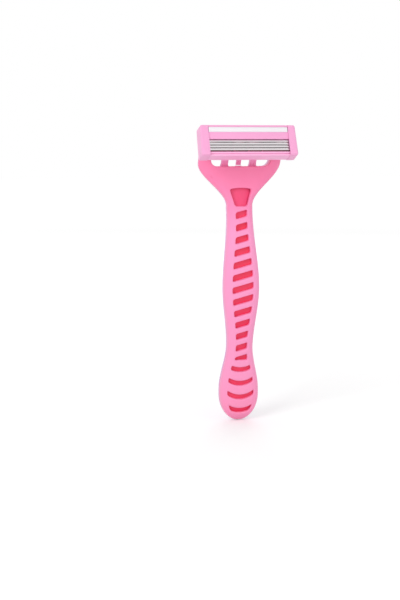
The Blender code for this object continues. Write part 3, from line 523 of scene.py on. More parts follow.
def two_sheets(name, outer, inner, keep=None):
    """Closed body between two grids: kept cells on both, and a wall along every edge of the kept area.

    A wall stands where just one of the two cells beside a grid edge is kept. Without keep, all are kept.
    """
    rows, columns = outer.shape[:2]
    if keep is None:
        keep = np.ones((rows - 1, columns - 1), bool)
    count = rows * columns
    index = np.arange(count).reshape(rows, columns)
    cells = np.stack((index[:-1, :-1], index[:-1, 1:], index[1:, 1:], index[1:, :-1]), axis=-1)[keep]
    beside = np.pad(keep, 1)
    across = beside[:-1, 1:-1] != beside[1:, 1:-1]
    along = beside[1:-1, :-1] != beside[1:-1, 1:]
    ends = np.concatenate((np.stack((index[:, :-1], index[:, 1:]), axis=-1)[across],
                           np.stack((index[:-1], index[1:]), axis=-1)[along]))
    walls = np.concatenate((ends, ends[:, ::-1] + count), axis=1)
    faces = np.concatenate((cells, cells[:, ::-1] + count, walls))
    points = np.concatenate((outer.reshape(-1, 3), inner.reshape(-1, 3)))
    return as_object(name, points.tolist(), faces.tolist())


# %% [markdown]
# The lengthwise lines fall into four zones, counted from the middle outwards: even lines over the
# window's width, three close lines in the fillet beside it, lines that crowd towards the edge of the
# yoke's opening, and lines at equal angles round the rim, where the section turns fastest.

# %% Lines of the sheet
FILLET = 0.5 * MM
FILLET_SHARES = np.array((0.0, 0.15, 0.5, 1.0))
ROW_STEP = 0.75 * MM
YOKE_EDGE = 112.5 * MM
ARM_INNER = 13.4 * MM
YOKE_CORNER = 3.0 * MM
CORNER_REACH = 8.0 * MM

crowding = np.sin(np.linspace(0.0, math.pi / 2, 8))[1:]
zone_shares = (np.linspace(0.0, 1.0, 9), FILLET_SHARES[1:], crowding, np.linspace(0.0, 1.0, 13)[1:])
zone = np.concatenate([np.full(len(shares), k) for k, shares in enumerate(zone_shares)])
share = np.concatenate(zone_shares)
zone = np.concatenate((zone[:0:-1], zone))
share = np.concatenate((share[:0:-1], share))
side = np.sign(np.arange(len(zone)) - len(zone) // 2)


def fillet(height):
    """Radius of the rounded window edges, smaller where the tail runs out."""
    return np.minimum(FILLET, 0.1 * half_width(height))


def line_places(height, inner, middle):
    """X of every lengthwise line at the given heights, for the half widths inner and middle there."""
    outer = half_width(height)
    turn = np.arccos(np.clip(middle / outer, 0.0, 1.0) ** 1.5)
    start = inner + fillet(height)
    places = np.select([zone == 0, zone == 1, zone == 2],
                       [inner * share, inner + fillet(height) * share, start + (middle - start) * share],
                       outer * np.cos(turn * (1.0 - share)) ** (2.0 / 3.0))
    return side * places


def yoke_lift(row, x):
    """How far the cross lines rise into the round corners of the yoke's opening."""
    into = np.clip(np.abs(x) - ARM_INNER + YOKE_CORNER, 0.0, YOKE_CORNER)
    amount = np.interp(row, (YOKE_EDGE - CORNER_REACH, YOKE_EDGE, ARM_TIP), (0.0, 1.0, 0.0))
    return amount * (YOKE_CORNER - np.sqrt(YOKE_CORNER ** 2 - into ** 2))


def arm_inner(height):
    """Half width of the yoke's opening, which flares a little at the arms' tips."""
    return ARM_INNER + eased(height, ((ARM_TIP - ARM_ROUND, 0.0), (ARM_TIP, ARM_ROUND / 2)))


def weave(rows, places, bend):
    """Side place and height of every crossing of the sheet's lines.

    A cross line's height is its row plus bend(row, x), and x depends on the height again, so both are
    worked out in turn a few times, which settles quickly.
    """
    row = rows[:, None]
    height = row
    for _ in range(8):
        x = places(height)
        height = row + bend(row, x)
    return x, height


def filled(lines, step=ROW_STEP):
    """Sorted lines with even ones added wherever two are further apart than a step."""
    lines = np.unique(np.round(np.asarray(lines), 8))
    counts = np.ceil(np.diff(lines) / step).astype(int)
    runs = [np.linspace(low, high, n, endpoint=False) for low, high, n in zip(lines, lines[1:], counts)]
    return np.concatenate(runs + [lines[-1:]])


def rounding(distance, radius):
    """How far a surface falls at a distance from a rounded edge: r - sqrt(r^2 - (r - d)^2)."""
    into = radius - np.clip(distance, 0.0, radius)
    return radius - np.sqrt(radius ** 2 - into ** 2)


def yoke_distance(x, height):
    """Distance from the yoke's opening, a U with round corners; negative inside it."""
    across = np.abs(x) - (arm_inner(height) - YOKE_CORNER)
    below = YOKE_EDGE + YOKE_CORNER - height
    outside = np.hypot(np.maximum(across, 0.0), np.maximum(below, 0.0))
    return outside + np.minimum(np.maximum(across, below), 0.0) - YOKE_CORNER


tail_rows = TAIL_ROUND * np.array((0.0, 0.002, 0.008, 0.02, 0.04, 0.07, 0.11, 0.16, 0.22))
arm_rows = ARM_TIP - ARM_ROUND * np.array((0.0, 0.02, 0.08, 0.18, 0.32, 0.5, 0.72, 1.0))
yoke_rows = YOKE_EDGE - FILLET * FILLET_SHARES
print("lengthwise lines:", len(zone))

# %% [markdown]
# The front shell is the pink moulding with the ladder. Thirteen slanted windows climb the grip, the
# lowest with a level foot, four smile-shaped ones sit in the tail, and a window for the thumb tapers
# below the yoke. The slant is one weight that fades in and out along the handle, and so is the smile.

# %% Front shell
FRONT_WALL = 1.8 * MM
RIM = 2.2 * MM
RIM_SHARE = 0.62
SLOT_SLANT = math.tan(math.radians(14.0))
SLOT_HALF = 1.4 * MM
SLOTS = 13
SLOTS_FROM = WAIST - 5.5 * MM
SLOTS_TO = NECK - 0.1 * MM
LAST_SLOT_FOOT = 0.6 * MM
SMILES = 4
SMILE_RADIUS = 10.0 * MM
SMILE_REACH = 6.2 * MM
SMILE_HEIGHT = 2.1 * MM
SMILE_FIRST = 3.9 * MM
SMILE_PITCH = 6.2 * MM
THUMB_FOOT = 95.4 * MM
THUMB_TOP = 102.7 * MM
THUMB_ARCH = 0.5 * MM
THUMB_HALF = 4.9 * MM
THUMB_FOOT_HALF = 2.7 * MM
ABOVE_THUMB_HALF = 8.0 * MM
CORE_FOOT = 2.6 * MM
CORE_TOP = 103.9 * MM
CORNER_SHARES = np.array((0.04, 0.15, 0.35, 0.6, 1.0))

smile_feet = SMILE_FIRST + SMILE_PITCH * np.arange(SMILES)
slot_middles = np.linspace(SLOTS_FROM, SLOTS_TO, SLOTS)
slot_feet = slot_middles - SLOT_HALF
slot_feet[0] = slot_middles[0] - LAST_SLOT_FOOT
windows = np.concatenate((np.stack((smile_feet, smile_feet + SMILE_HEIGHT), axis=1),
                          np.stack((slot_feet, slot_middles + SLOT_HALF), axis=1),
                          [(THUMB_FOOT, THUMB_TOP)]))
corners = MM * np.array([0.6] * SMILES + [0.7] * SLOTS + [0.9])
first_slot, last_slot = windows[SMILES], windows[SMILES + SLOTS - 1]


def rim_edge(height):
    """Half width where the rim begins: a rim's width inside the outline, but at least a share of it."""
    outer = half_width(height)
    return np.maximum(outer - RIM, RIM_SHARE * outer)


def front_widths(height):
    """Half widths of the windows and of the rim's inner edge at each height."""
    outer = half_width(height)
    margin = eased(height, MM * np.array(((25.8, 2.8), (27.4, 4.2), (30.0, 4.2), (32.2, 3.3), (91.0, 3.3),
                                          (95.4, 2.95))))
    thumb = np.interp(height, (THUMB_FOOT, THUMB_TOP, YOKE_EDGE),
                      (THUMB_FOOT_HALF, THUMB_HALF, ABOVE_THUMB_HALF))
    inner = np.where(height > THUMB_FOOT, thumb, np.maximum(outer - margin, 0.45 * outer))
    middle = np.maximum(rim_edge(height), inner + 2 * fillet(height))
    return inner, np.minimum(middle, arm_inner(height))


def front_bend(row, x):
    """Cross lines of the front: smiles in the tail, slanted in the ladder, arched over the thumb window.

    Beside the windows the slanted lines run level again, so that none of them cross where the slant fades.
    """
    reach = front_widths(row)[0] + 2 * FILLET
    slant = eased(row, ((first_slot[0], 0.0), (first_slot[1], SLOT_SLANT), (last_slot[1], SLOT_SLANT),
                        (THUMB_FOOT, 0.0)))
    smile = eased(row, ((windows[SMILES - 1, 1], 1.0), (first_slot[0], 0.0)))
    curve = SMILE_RADIUS - np.sqrt(SMILE_RADIUS ** 2 - np.minimum(np.abs(x), SMILE_REACH) ** 2)
    arch = np.interp(row, (THUMB_FOOT, THUMB_TOP, YOKE_EDGE), (0.0, THUMB_ARCH, 0.0))
    over_thumb = arch * np.maximum(1.0 - (x / THUMB_HALF) ** 2, 0.0)
    return slant * np.clip(x, -reach, reach) + smile * curve + over_thumb + yoke_lift(row, x)


def drawn_in(rows):
    """How far a window's sides turn in at its foot and top to round its corners; it fades out beyond."""
    inside = np.minimum(rows[:, None] - windows[:, 0], windows[:, 1] - rows[:, None])
    nearest = inside.argmax(axis=1)
    inside = inside.max(axis=1)
    return (rounding(inside, corners[nearest]) * np.clip(1.0 + inside / MM, 0.0, 1.0))[:, None]


def front_shell():
    """The woven sheet with its windows left out, rounded window edges, and a pocket for the core."""
    low, high, turn = windows[:, :1], windows[:, 1:], corners[:, None]
    edges = np.concatenate((low - FILLET * FILLET_SHARES, high + FILLET * FILLET_SHARES), axis=1)
    turns = np.concatenate((low + turn * CORNER_SHARES, high - turn * CORNER_SHARES), axis=1)
    rows = filled(np.concatenate((edges.ravel(), turns.ravel(), tail_rows, arm_rows, yoke_rows)))
    drawn = drawn_in(rows)

    def places(h):
        window, rim = front_widths(h)
        return line_places(h, window - drawn, rim)

    x, height = weave(rows, places, front_bend)
    inner, middle = front_widths(height)
    turn = turn[:, :, None]
    across = np.maximum(np.abs(x) - inner + turn, 0.0)
    half = (high - low)[:, :, None] / 2
    along = np.maximum(np.abs(rows[:, None] - low[:, :, None] - half) - half + turn, 0.0)
    beyond = np.maximum(np.hypot(across, along) - turn, 0.0)
    distance = np.minimum(beyond.min(axis=0), np.maximum(yoke_distance(x, height), 0.0))
    rise = np.maximum(crown(height, x) - rounding(distance, FILLET), 0.0)
    pocket = (np.abs(x) <= middle + SEAM / 10) & (height > CORE_FOOT - GAP) & (height < CORE_TOP + GAP)
    behind = np.where(pocket, half_depth(height) - FRONT_WALL, SEAM_LEFT)
    rows_mid = (rows[:-1] + rows[1:]) / 2
    in_window = ((rows_mid > windows[:, :1]) & (rows_mid < windows[:, 1:])).any(axis=0)
    inside = np.maximum(zone[:-1], zone[1:])
    opening = (rows_mid > YOKE_EDGE)[:, None] & (inside <= 2)
    keep = ~((in_window[:, None] & (inside == 0)) | opening)
    outer_sheet = from_parting(x, -SEAM - rise, height)
    inner_sheet = from_parting(x, -np.minimum(behind, SEAM + rise), height)
    return two_sheets("front_shell", outer_sheet, inner_sheet, keep)


dress(front_shell(), FRONT_PINK, "handle", "front_pink", "handle_front_shell")

# %% [markdown]
# Behind the windows lies the core, a hot pink bar that is moulded first and that the front shell is
# closed over. Only its front shows, as the floor of every window. Under the thumb it falls away towards
# the yoke, so that the thumb finds an edge to push against.

# %% Core
CORE_HEAD_HALF = 5.8 * MM
THUMB_RAMP = 0.7 * MM
THUMB_BULGE = 0.6 * MM


def core():
    """A bar between two sheets: its front is depth - wall over the parting plane and rounded at its sides."""
    rows = filled(np.concatenate((CORE_FOOT + FILLET * FILLET_SHARES, CORE_TOP - FILLET * FILLET_SHARES)))
    height = np.repeat(rows[:, None], 25, axis=1)
    half = rim_edge(height) - GAP
    half = np.where(height > NECK, np.minimum(half, CORE_HEAD_HALF - GAP), half)
    x = half * np.sin(np.linspace(-math.pi / 2, math.pi / 2, 25))
    edge = np.minimum(np.minimum(half - np.abs(x), height - CORE_FOOT), CORE_TOP - height)
    sunk = THUMB_RAMP - THUMB_BULGE * (1.0 - (x / half) ** 2)
    ramp = sunk * eased(height, ((NECK, 0.0), (THUMB_TOP, 1.0)))
    rise = half_depth(height) - FRONT_WALL - SEAM_LEFT - ramp - rounding(edge, FILLET)
    front = from_parting(x, -np.maximum(rise, 2 * SEAM), height)
    back = from_parting(x, -SEAM, height)
    return two_sheets("core", front, back)


dress(core(), CORE_PINK, "handle", "core_hot_pink", "handle_core")

# %% [markdown]
# The lavender back shell is woven in the same way. Its cross lines lie level, so that the six neck
# grooves follow them, and bend to smiles in the tail, where five shallow grooves leave four ribs. Grooves
# are drops of the sheet in the shape of a squared cosine, which has no hard lip. The teardrop recess of
# the grip insert is a block of lowered cells: lengthwise lines make its sides, and an arched cross line
# closes its round top.

# %% Back shell
INSERT_FOOT = 33.3 * MM
INSERT_TOP = 79.7 * MM
INSERT_HALF = 3.15 * MM
INSERT_FOOT_HALF = 1.75 * MM
INSERT_DEPTH = 1.4 * MM
PLATE_FOOT = 103.3 * MM
PLATE_TOP = 112.2 * MM
EIGHTH = math.sqrt(0.5)
GROOVE_REACH = 0.95 * MM
NECK_GROOVE_DEPTH = 0.65 * MM
TAIL_GROOVE_DEPTH = 0.6 * MM
TAIL_SMILE = 12.0 * MM
TAIL_SMILE_REACH = 7.5 * MM
TAIL_SMILE_END = 25.0 * MM
NECK_GROOVE_TOP = 98.6 * MM
NECK_GROOVE_PITCH = 3.06 * MM
TAIL_GROOVE_FIRST = 4.15 * MM
TAIL_GROOVE_PITCH = 3.2 * MM

neck_grooves = NECK_GROOVE_TOP - NECK_GROOVE_PITCH * np.arange(6)
tail_grooves = TAIL_GROOVE_FIRST + TAIL_GROOVE_PITCH * np.arange(5)


def drop_top(gap):
    """Row of the teardrop's top line: where its round head has turned by an eighth."""
    return INSERT_TOP - INSERT_HALF + EIGHTH * (INSERT_HALF + gap)


def drop_half(height, gap):
    """Half width of the teardrop: it widens from its foot, then turns in along a circle for an eighth."""
    radius = INSERT_HALF + gap
    start = INSERT_TOP - INSERT_HALF
    into = np.clip(height - start, 0.0, EIGHTH * radius)
    straight = eased(height, ((INSERT_FOOT, INSERT_FOOT_HALF + gap), (start, radius)))
    return straight - radius + np.sqrt(radius ** 2 - into ** 2)


def drop_arch(row, x, gap):
    """Rise of the cross lines near the teardrop's top: the circle's last quarter between its two eighths."""
    radius = INSERT_HALF + gap
    top = drop_top(gap)
    amount = np.interp(row, (top - radius, top, top + radius), (0.0, 1.0, 0.0))
    return amount * (np.sqrt(radius ** 2 - np.minimum(np.abs(x), EIGHTH * radius) ** 2) - EIGHTH * radius)


def plate_half(height):
    """Half width of the fork's plate, a little wider at its top."""
    return eased(height, ((PLATE_FOOT, 7.7 * MM), (PLATE_TOP, 8.4 * MM)))


def back_widths(height):
    """Half widths of the recess or fork window and of the rim's inner edge at each height."""
    outer = half_width(height)
    opening = eased(height, ((drop_top(GAP), EIGHTH * (INSERT_HALF + GAP)), (FLARE, 2.6 * MM),
                             (PLATE_FOOT - GAP, 8.0 * MM), (PLATE_TOP, 8.7 * MM)))
    inner = np.where(height > drop_top(GAP), opening, np.minimum(drop_half(height, GAP), 0.4 * outer))
    middle = np.maximum(rim_edge(height), inner + 2 * fillet(height))
    return inner, np.minimum(middle, arm_inner(height))


def back_bend(row, x):
    """Cross lines of the back: smiles in the tail, arched at the recess's top, level in the neck."""
    smile = eased(row, ((tail_grooves[-1] + GROOVE_REACH, 1.0), (TAIL_SMILE_END, 0.0)))
    curve = TAIL_SMILE - np.sqrt(TAIL_SMILE ** 2 - np.minimum(np.abs(x), TAIL_SMILE_REACH) ** 2)
    return smile * curve + drop_arch(row, x, GAP) + yoke_lift(row, x)


def groove(row, middles):
    """Depth of a row of grooves as a share: the squared cosine of the distance from the nearest middle."""
    away = np.abs(row - middles).min(axis=-1, keepdims=True) / GROOVE_REACH
    return np.cos(math.pi / 2 * np.minimum(away, 1.0)) ** 2


def back_shell():
    """The woven sheet with grooves, the recess and the fork window, on a flat inner face."""
    foot, top = INSERT_FOOT - GAP, drop_top(GAP)
    window = PLATE_FOOT - GAP
    groove_middles = np.concatenate((neck_grooves, tail_grooves))[:, None]
    grooves = (groove_middles + GROOVE_REACH * np.linspace(-1, 1, 13)).ravel()
    lines = (foot - FILLET * FILLET_SHARES, top + FILLET * FILLET_SHARES, window - FILLET * FILLET_SHARES)
    rows = filled(np.concatenate((grooves, *lines, tail_rows, arm_rows, yoke_rows)))
    x, height = weave(rows, lambda h: line_places(h, *back_widths(h)), back_bend)
    inner, middle = back_widths(height)
    row = rows[:, None]
    beside = np.maximum(np.abs(x) - inner, 0.0)
    round_recess = np.hypot(beside, np.maximum(np.maximum(foot - row, row - top), 0.0))
    round_window = np.hypot(beside, np.maximum(window - row, 0.0))
    edge = np.minimum(np.minimum(round_recess, round_window), np.maximum(yoke_distance(x, height), 0.0))
    outer = half_width(height)
    fade = eased(np.abs(x) / outer, ((0.86, 1.0), (1.0, 0.25)))
    drop = NECK_GROOVE_DEPTH * groove(row, neck_grooves) * fade
    fade = eased(outer - np.abs(x), ((1.7 * MM, 0.0), (3.0 * MM, 1.0)))
    drop += TAIL_GROOVE_DEPTH * groove(row, tail_grooves) * fade
    rise = np.maximum(crown(height, x) - rounding(edge, FILLET) - drop, 0.0)
    recess = (zone == 0) & (row >= foot - SEAM / 100) & (row <= top + SEAM / 100)
    rise = np.where(recess, half_depth(height) - INSERT_DEPTH - GAP - SEAM, rise)
    rows_mid = ((rows[:-1] + rows[1:]) / 2)[:, None]
    inside = np.maximum(zone[:-1], zone[1:])
    keep = ~(((rows_mid > window) & (inside == 0)) | ((rows_mid > YOKE_EDGE) & (inside <= 2)))
    outer_sheet = from_parting(x, SEAM + rise, height)
    inner_sheet = from_parting(x, SEAM_LEFT, height)
    return two_sheets("back_shell", outer_sheet, inner_sheet, keep)


dress(back_shell(), LAVENDER, "handle", "back_lavender", "handle_back_shell")

# %% [markdown]
# The grip insert is a soft pink teardrop that fills the recess. It stands a little proud of the shell and
# its edge is well rounded, so a thin shadow line runs all the way round it.

# %% Grip insert
INSERT_PROUD = 0.2 * MM
INSERT_ROUND = 0.55 * MM


def grip_insert():
    """The back's own crown, lifted by a little, over the teardrop's outline; its edge falls along a round."""
    top = drop_top(0.0)
    lines = np.concatenate((INSERT_FOOT + INSERT_ROUND * FILLET_SHARES, top - INSERT_ROUND * FILLET_SHARES))
    rows = filled(lines)
    spread = np.sin(np.linspace(-math.pi / 2, math.pi / 2, 31))
    x, height = weave(rows, lambda h: drop_half(h, 0.0) * spread, lambda row, x: drop_arch(row, x, 0.0))
    row = rows[:, None]
    edge = np.minimum(np.minimum(drop_half(height, 0.0) - np.abs(x), row - INSERT_FOOT), top - row)
    rise = crown(height, x) + SEAM + INSERT_PROUD - rounding(edge, INSERT_ROUND)
    outer_sheet = from_parting(x, rise, height)
    inner_sheet = from_parting(x, half_depth(height) - INSERT_DEPTH, height)
    return two_sheets("grip_insert", outer_sheet, inner_sheet)


dress(grip_insert(), INSERT_PINK, "handle", "insert_pink", "back_grip_insert")

# %% [markdown]
# The fork carries the cartridge. Its plate sits in the back shell's window, with a raised border on three
# sides, and two prongs bend forward from it to the pivot. Each holds a round boss with a pin, on which
# the cartridge turns. A prong is a rounded rectangle carried along a curve, a boss is a profile turned
# about the pivot's axis, and a Boolean union welds them, as the mould does.

# %% Closed tubes
SMALL_ROUND = 0.3 * MM


def closed_tube(name, rings):
    """Body over a row of closed rings: quads between neighbours, and the two end rings as flat faces."""
    count, size = rings.shape[:2]
    index = np.arange(count * size).reshape(count, size)
    after = np.roll(index, -1, axis=1)
    quads = np.stack((index[:-1], after[:-1], after[1:], index[1:]), axis=-1).reshape(-1, 4)
    ends = [index[0, ::-1].tolist(), index[-1].tolist()]
    return as_object(name, rings.reshape(-1, 3).tolist(), quads.tolist() + ends)


def turned(name, x, radius, y, height, count=56):
    """Profile of (x, radius) turned about the line along X through (y, height)."""
    angle = np.linspace(0.0, 2 * math.pi, count, endpoint=False)
    x = np.repeat(np.asarray(x)[:, None], count, axis=1)
    radius = np.asarray(radius)[:, None]
    return closed_tube(name, in_frame(x, y + radius * np.cos(angle), height + radius * np.sin(angle)))


def curve_points(start, bend, end, count):
    """Quadratic curve (1-t)^2 start + 2t(1-t) bend + t^2 end, with its unit normals."""
    t = np.linspace(0.0, 1.0, count)[:, None]
    start, bend, end = np.array(start), np.array(bend), np.array(end)
    points = start * (1 - t) ** 2 + bend * 2 * t * (1 - t) + end * t * t
    along = np.gradient(points, axis=0)
    along /= np.linalg.norm(along, axis=1, keepdims=True)
    return points, np.stack((-along[:, 1], along[:, 0]), axis=1)


def swept(name, x, points, normals, width, thickness, squareness=5.0):
    """Rounded rectangle, |a|^n + |b|^n = 1, carried along a curve in the (y, height) plane."""
    angle = np.linspace(0.0, 2 * math.pi, 40, endpoint=False)
    power = 2.0 / squareness
    across = np.sign(np.cos(angle)) * np.abs(np.cos(angle)) ** power / 2
    through = np.sign(np.sin(angle)) * np.abs(np.sin(angle)) ** power / 2
    place = points[:, None, :] + normals[:, None, :] * (thickness[:, None] * through)[:, :, None]
    return closed_tube(name, in_frame(x + width[:, None] * across, place[..., 0], place[..., 1]))


def fused(name, first, *others):
    """One closed piece out of overlapping ones, by Boolean union."""
    for other in others:
        weld = first.modifiers.new(other.name, "BOOLEAN")
        weld.operation = "UNION"
        weld.solver = "EXACT"
        weld.object = other
    solid = first.evaluated_get(bpy.context.evaluated_depsgraph_get())
    mesh = bpy.data.meshes.new_from_object(solid)
    for used in (first, *others):
        bpy.data.objects.remove(used)
    mesh.shade_smooth()
    mesh.set_sharp_from_angle(angle=SHARP)
    return in_scene(name, mesh)


def rounded_rod(start, end, radius, edge):
    """Profile of a rod along X with both end edges rounded: lists of x and radius."""
    turn = np.linspace(0.0, math.pi / 2, 6)
    low, high = min(start, end), max(start, end)
    x = np.concatenate((low + edge * (1 - np.sin(turn[::-1])), high - edge * (1 - np.sin(turn))))
    r = radius - edge * (1 - np.cos(np.concatenate((turn[::-1], turn))))
    return x, r


# %% [markdown]
# With these tools the fork is put together. The plate is a sheet like the shells, thick enough to hold
# its border. The prongs start inside it, so that the weld has no gap.

# %% Pivot fork
PLATE_THICKNESS = 2.0 * MM
PLATE_FULLER = 0.2 * MM
RAIL_WIDTH = 1.2 * MM
RAIL_RISE = 1.1 * MM
PRONG_X = 6.3 * MM
PRONG_WIDTH = 3.0 * MM
PRONG_THICKNESS = 1.96 * MM, 2.3 * MM
PRONG_SINK = 0.8 * MM
PRONG_FLARE = 1.1 * MM
PRONG_FLARE_HEIGHT = 1.8 * MM
BOSS_RADIUS = 3.1 * MM
BOSS_SPAN = 6.9 * MM, 11.0 * MM
PIN_RADIUS = 1.2 * MM
PIN_SPAN = 10.0 * MM, 12.45 * MM
PIVOT_Y = -6.3 * MM
PIVOT_HEIGHT = 122.4 * MM
TONGUE_WIDTH = 2.8 * MM
TONGUE_THICKNESS = 1.1 * MM
ROOT_RISE = 0.5 * MM

plate_middle = float(parting(PLATE_TOP)) + SEAM + PLATE_THICKNESS / 2


def fork_plate():
    """Sheet over the plate: a flat field inside a raised border along three sides, with every edge rounded.

    Its outline is a little fuller than the frame's, so only a thin seam shows round it.
    """
    steps = SMALL_ROUND * np.array((0.0, 0.1, 0.3, 0.6, 1.0))
    near = np.concatenate((steps, RAIL_WIDTH - steps[::-1], RAIL_WIDTH + steps / 10))
    foot = PLATE_FOOT - PLATE_FULLER
    rows = filled(np.concatenate((foot + near, PLATE_TOP - steps)), 1.2 * MM)
    places = np.concatenate((near, np.linspace(RAIL_WIDTH + SMALL_ROUND, 8.0 * MM, 9)[:-1]))
    height = np.repeat(rows[:, None], 2 * len(places), axis=1)
    half = plate_half(height[:, :1]) + PLATE_FULLER
    right = half - places
    x = np.concatenate((-right, right[:, ::-1]), axis=1)
    beside = np.abs(np.abs(x) - half)
    above = height - foot
    to_field = np.hypot(np.maximum(RAIL_WIDTH - beside, 0.0), np.maximum(RAIL_WIDTH - above, 0.0))
    on_border = np.minimum(beside, above) <= RAIL_WIDTH + SEAM / 100
    edge = np.minimum(np.minimum(beside, above), np.where(on_border, to_field, SMALL_ROUND))
    edge = np.minimum(edge, PLATE_TOP - height)
    rise = PLATE_THICKNESS + RAIL_RISE * on_border - rounding(edge, SMALL_ROUND)
    back = from_parting(x, SEAM + rise, height)
    front = from_parting(x, SEAM, height)
    return two_sheets("plate", back, front)


def pivot_fork():
    """Plate, tongue root, and on each side a prong that flares at its root, a boss and a pin, welded."""
    foot = (plate_middle, PLATE_TOP - PRONG_SINK)
    bend = (plate_middle, PLATE_TOP + 2 * PLATE_THICKNESS)
    points, normals = curve_points(foot, bend, (PIVOT_Y, PIVOT_HEIGHT), 40)
    above = np.clip((points[:, 1] - PLATE_TOP) / PRONG_FLARE_HEIGHT, 0.0, 1.0)
    width = PRONG_WIDTH + PRONG_FLARE * (1.0 - above) ** 2
    thick = np.linspace(*PRONG_THICKNESS, 40)
    rods = (BOSS_SPAN, BOSS_RADIUS, 2 * SMALL_ROUND), (PIN_SPAN, PIN_RADIUS, SMALL_ROUND)
    parts = []
    for turn in (-1, 1):
        parts.append(swept("prong", turn * PRONG_X, points, normals, width, thick))
        for span, radius, edge in rods:
            x, r = rounded_rod(turn * span[0], turn * span[1], radius, edge)
            parts.append(turned("boss", x, r, PIVOT_Y, PIVOT_HEIGHT))
    root, root_normals = curve_points((plate_middle, PLATE_TOP - MM), (plate_middle, PLATE_TOP),
                                      (plate_middle, PLATE_TOP + ROOT_RISE), 6)
    root_width, root_thick = np.full(6, TONGUE_WIDTH), np.full(6, TONGUE_THICKNESS)
    parts.append(swept("root", 0.0, root, root_normals, root_width, root_thick))
    return fused("fork", fork_plate(), *parts)


dress(pivot_fork(), FORK_PINK, "handle", "fork_pink", "pivot_fork")

# %% [markdown]
# Between the prongs stands the return tongue, a thin leaf that presses on the cartridge's back and brings
# it to rest again. It tapers towards its tip, where a small round pad slides on the cartridge.

# %% Return tongue
HEAD_TILT = math.radians(22.0)
AXIS_BEHIND_FACE = 5.3 * MM
AXIS_ABOVE_MIDDLE = 1.85 * MM
HEAD_BACK = -3.25 * MM
LEAF_WIDTH = 2.2 * MM, 2.1 * MM
LEAF_TIP = 0.82 * MM
LEAF_BEND = 0.35
PAD_RADIUS = 0.8 * MM
PAD_EDGE = 0.25 * MM
CONTACT_BELOW_AXIS = 1.4 * MM


def head_place(v, w):
    """Y and height of a place on the cartridge: v runs up its face and w out of it; the tilt turns both."""
    y = -(w + AXIS_BEHIND_FACE)
    z = v - AXIS_ABOVE_MIDDLE
    return (PIVOT_Y + y * math.cos(HEAD_TILT) + z * math.sin(HEAD_TILT),
            PIVOT_HEIGHT - y * math.sin(HEAD_TILT) + z * math.cos(HEAD_TILT))


def return_tongue():
    """Leaf along a curve from the plate to the pad, a turned rod that stops a gap short of the cartridge."""
    tip = head_place(AXIS_ABOVE_MIDDLE - CONTACT_BELOW_AXIS, HEAD_BACK - GAP - PAD_RADIUS)
    foot = (plate_middle, PLATE_TOP + ROOT_RISE + GAP)
    bend = (plate_middle, foot[1] + LEAF_BEND * (tip[1] - foot[1]))
    points, normals = curve_points(foot, bend, tip, 20)
    leaf = swept("leaf", 0.0, points, normals, np.linspace(*LEAF_WIDTH, 20),
                 np.linspace(TONGUE_THICKNESS, LEAF_TIP, 20))
    x, r = rounded_rod(-TONGUE_WIDTH / 2, TONGUE_WIDTH / 2, PAD_RADIUS, PAD_EDGE)
    return fused("tongue", leaf, turned("pad", x, r, *tip, 32))


dress(return_tongue(), FORK_PINK, "tongue", "fork_pink", "return_tongue")

# %% [markdown]
# Most of the cartridge is long bars of one section. A bar's outline is drawn through its corners, each
# rounded by its own radius, and carried along the cartridge; its two ends are rounded by drawing the
# outline in.

# %% Bars of the cartridge
BODY_END = 17.34 * MM
HEAD_TOP = 6.75 * MM
HEAD_FRONT = 3.25 * MM
BAR_EDGE = 0.12 * MM


def rounded(corners, radii, count=7):
    """Closed outline with each corner replaced by an arc that touches its two sides."""
    corner = MM * np.array(corners)
    radius = MM * np.array(radii)[:, None]
    to_last = np.roll(corner, 1, axis=0) - corner
    to_next = np.roll(corner, -1, axis=0) - corner
    to_last /= np.linalg.norm(to_last, axis=1, keepdims=True)
    to_next /= np.linalg.norm(to_next, axis=1, keepdims=True)
    half = np.arccos(np.clip((to_last * to_next).sum(axis=1, keepdims=True), -1.0, 1.0)) / 2
    bisector = (to_last + to_next) / np.linalg.norm(to_last + to_next, axis=1, keepdims=True)
    centre = corner + bisector * radius / np.sin(half)
    first = corner + to_last * radius / np.tan(half) - centre
    last = corner + to_next * radius / np.tan(half) - centre
    turn = math.pi - 2 * half
    t = np.linspace(0.0, 1.0, count)[None, :, None]
    arc = (np.sin((1 - t) * turn[:, None]) * first[:, None] + np.sin(t * turn[:, None]) * last[:, None])
    outline = (centre[:, None] + arc / np.sin(turn)[:, None]).reshape(-1, 2)
    apart = np.linalg.norm(outline - np.roll(outline, 1, axis=0), axis=1)
    return outline[apart > 0.002 * MM]


def inward(outline):
    """Unit normals of an outline that point into it, from the chord between each point's neighbours."""
    after, before = np.roll(outline, -1, axis=0), np.roll(outline, 1, axis=0)
    area = (outline[:, 0] * after[:, 1] - after[:, 0] * outline[:, 1]).sum()
    chord = after - before
    normal = np.stack((-chord[:, 1], chord[:, 0]), axis=1) * np.sign(area)
    return normal / np.linalg.norm(normal, axis=1, keepdims=True)


def on_head(x, v, w):
    """Points in the frame's coordinates of places on the cartridge."""
    y, height = head_place(v, w)
    return in_frame(x, y, height)


def bar(name, outline, end, edge=BAR_EDGE):
    """Outline carried from -end to +end along X; near an end it is drawn in by edge * (1 - cos)."""
    turn = np.linspace(0.0, math.pi / 2, 5)
    x = end - edge * (1 - np.sin(turn))
    drawn = edge * (1 - np.cos(turn))
    x = np.concatenate((-x[::-1], x))[:, None]
    drawn = np.concatenate((drawn[::-1], drawn))[:, None, None]
    section = outline + drawn * inward(outline)
    return closed_tube(name, on_head(np.repeat(x, len(outline), axis=1), section[..., 0], section[..., 1]))


# %% [markdown]
# The cover carries the pale strip in a seat along its top. The strip is a waxy bar with a low crown.
# Below the blades lies the guard, a soft bar whose crest stretches the skin ahead of the first edge.

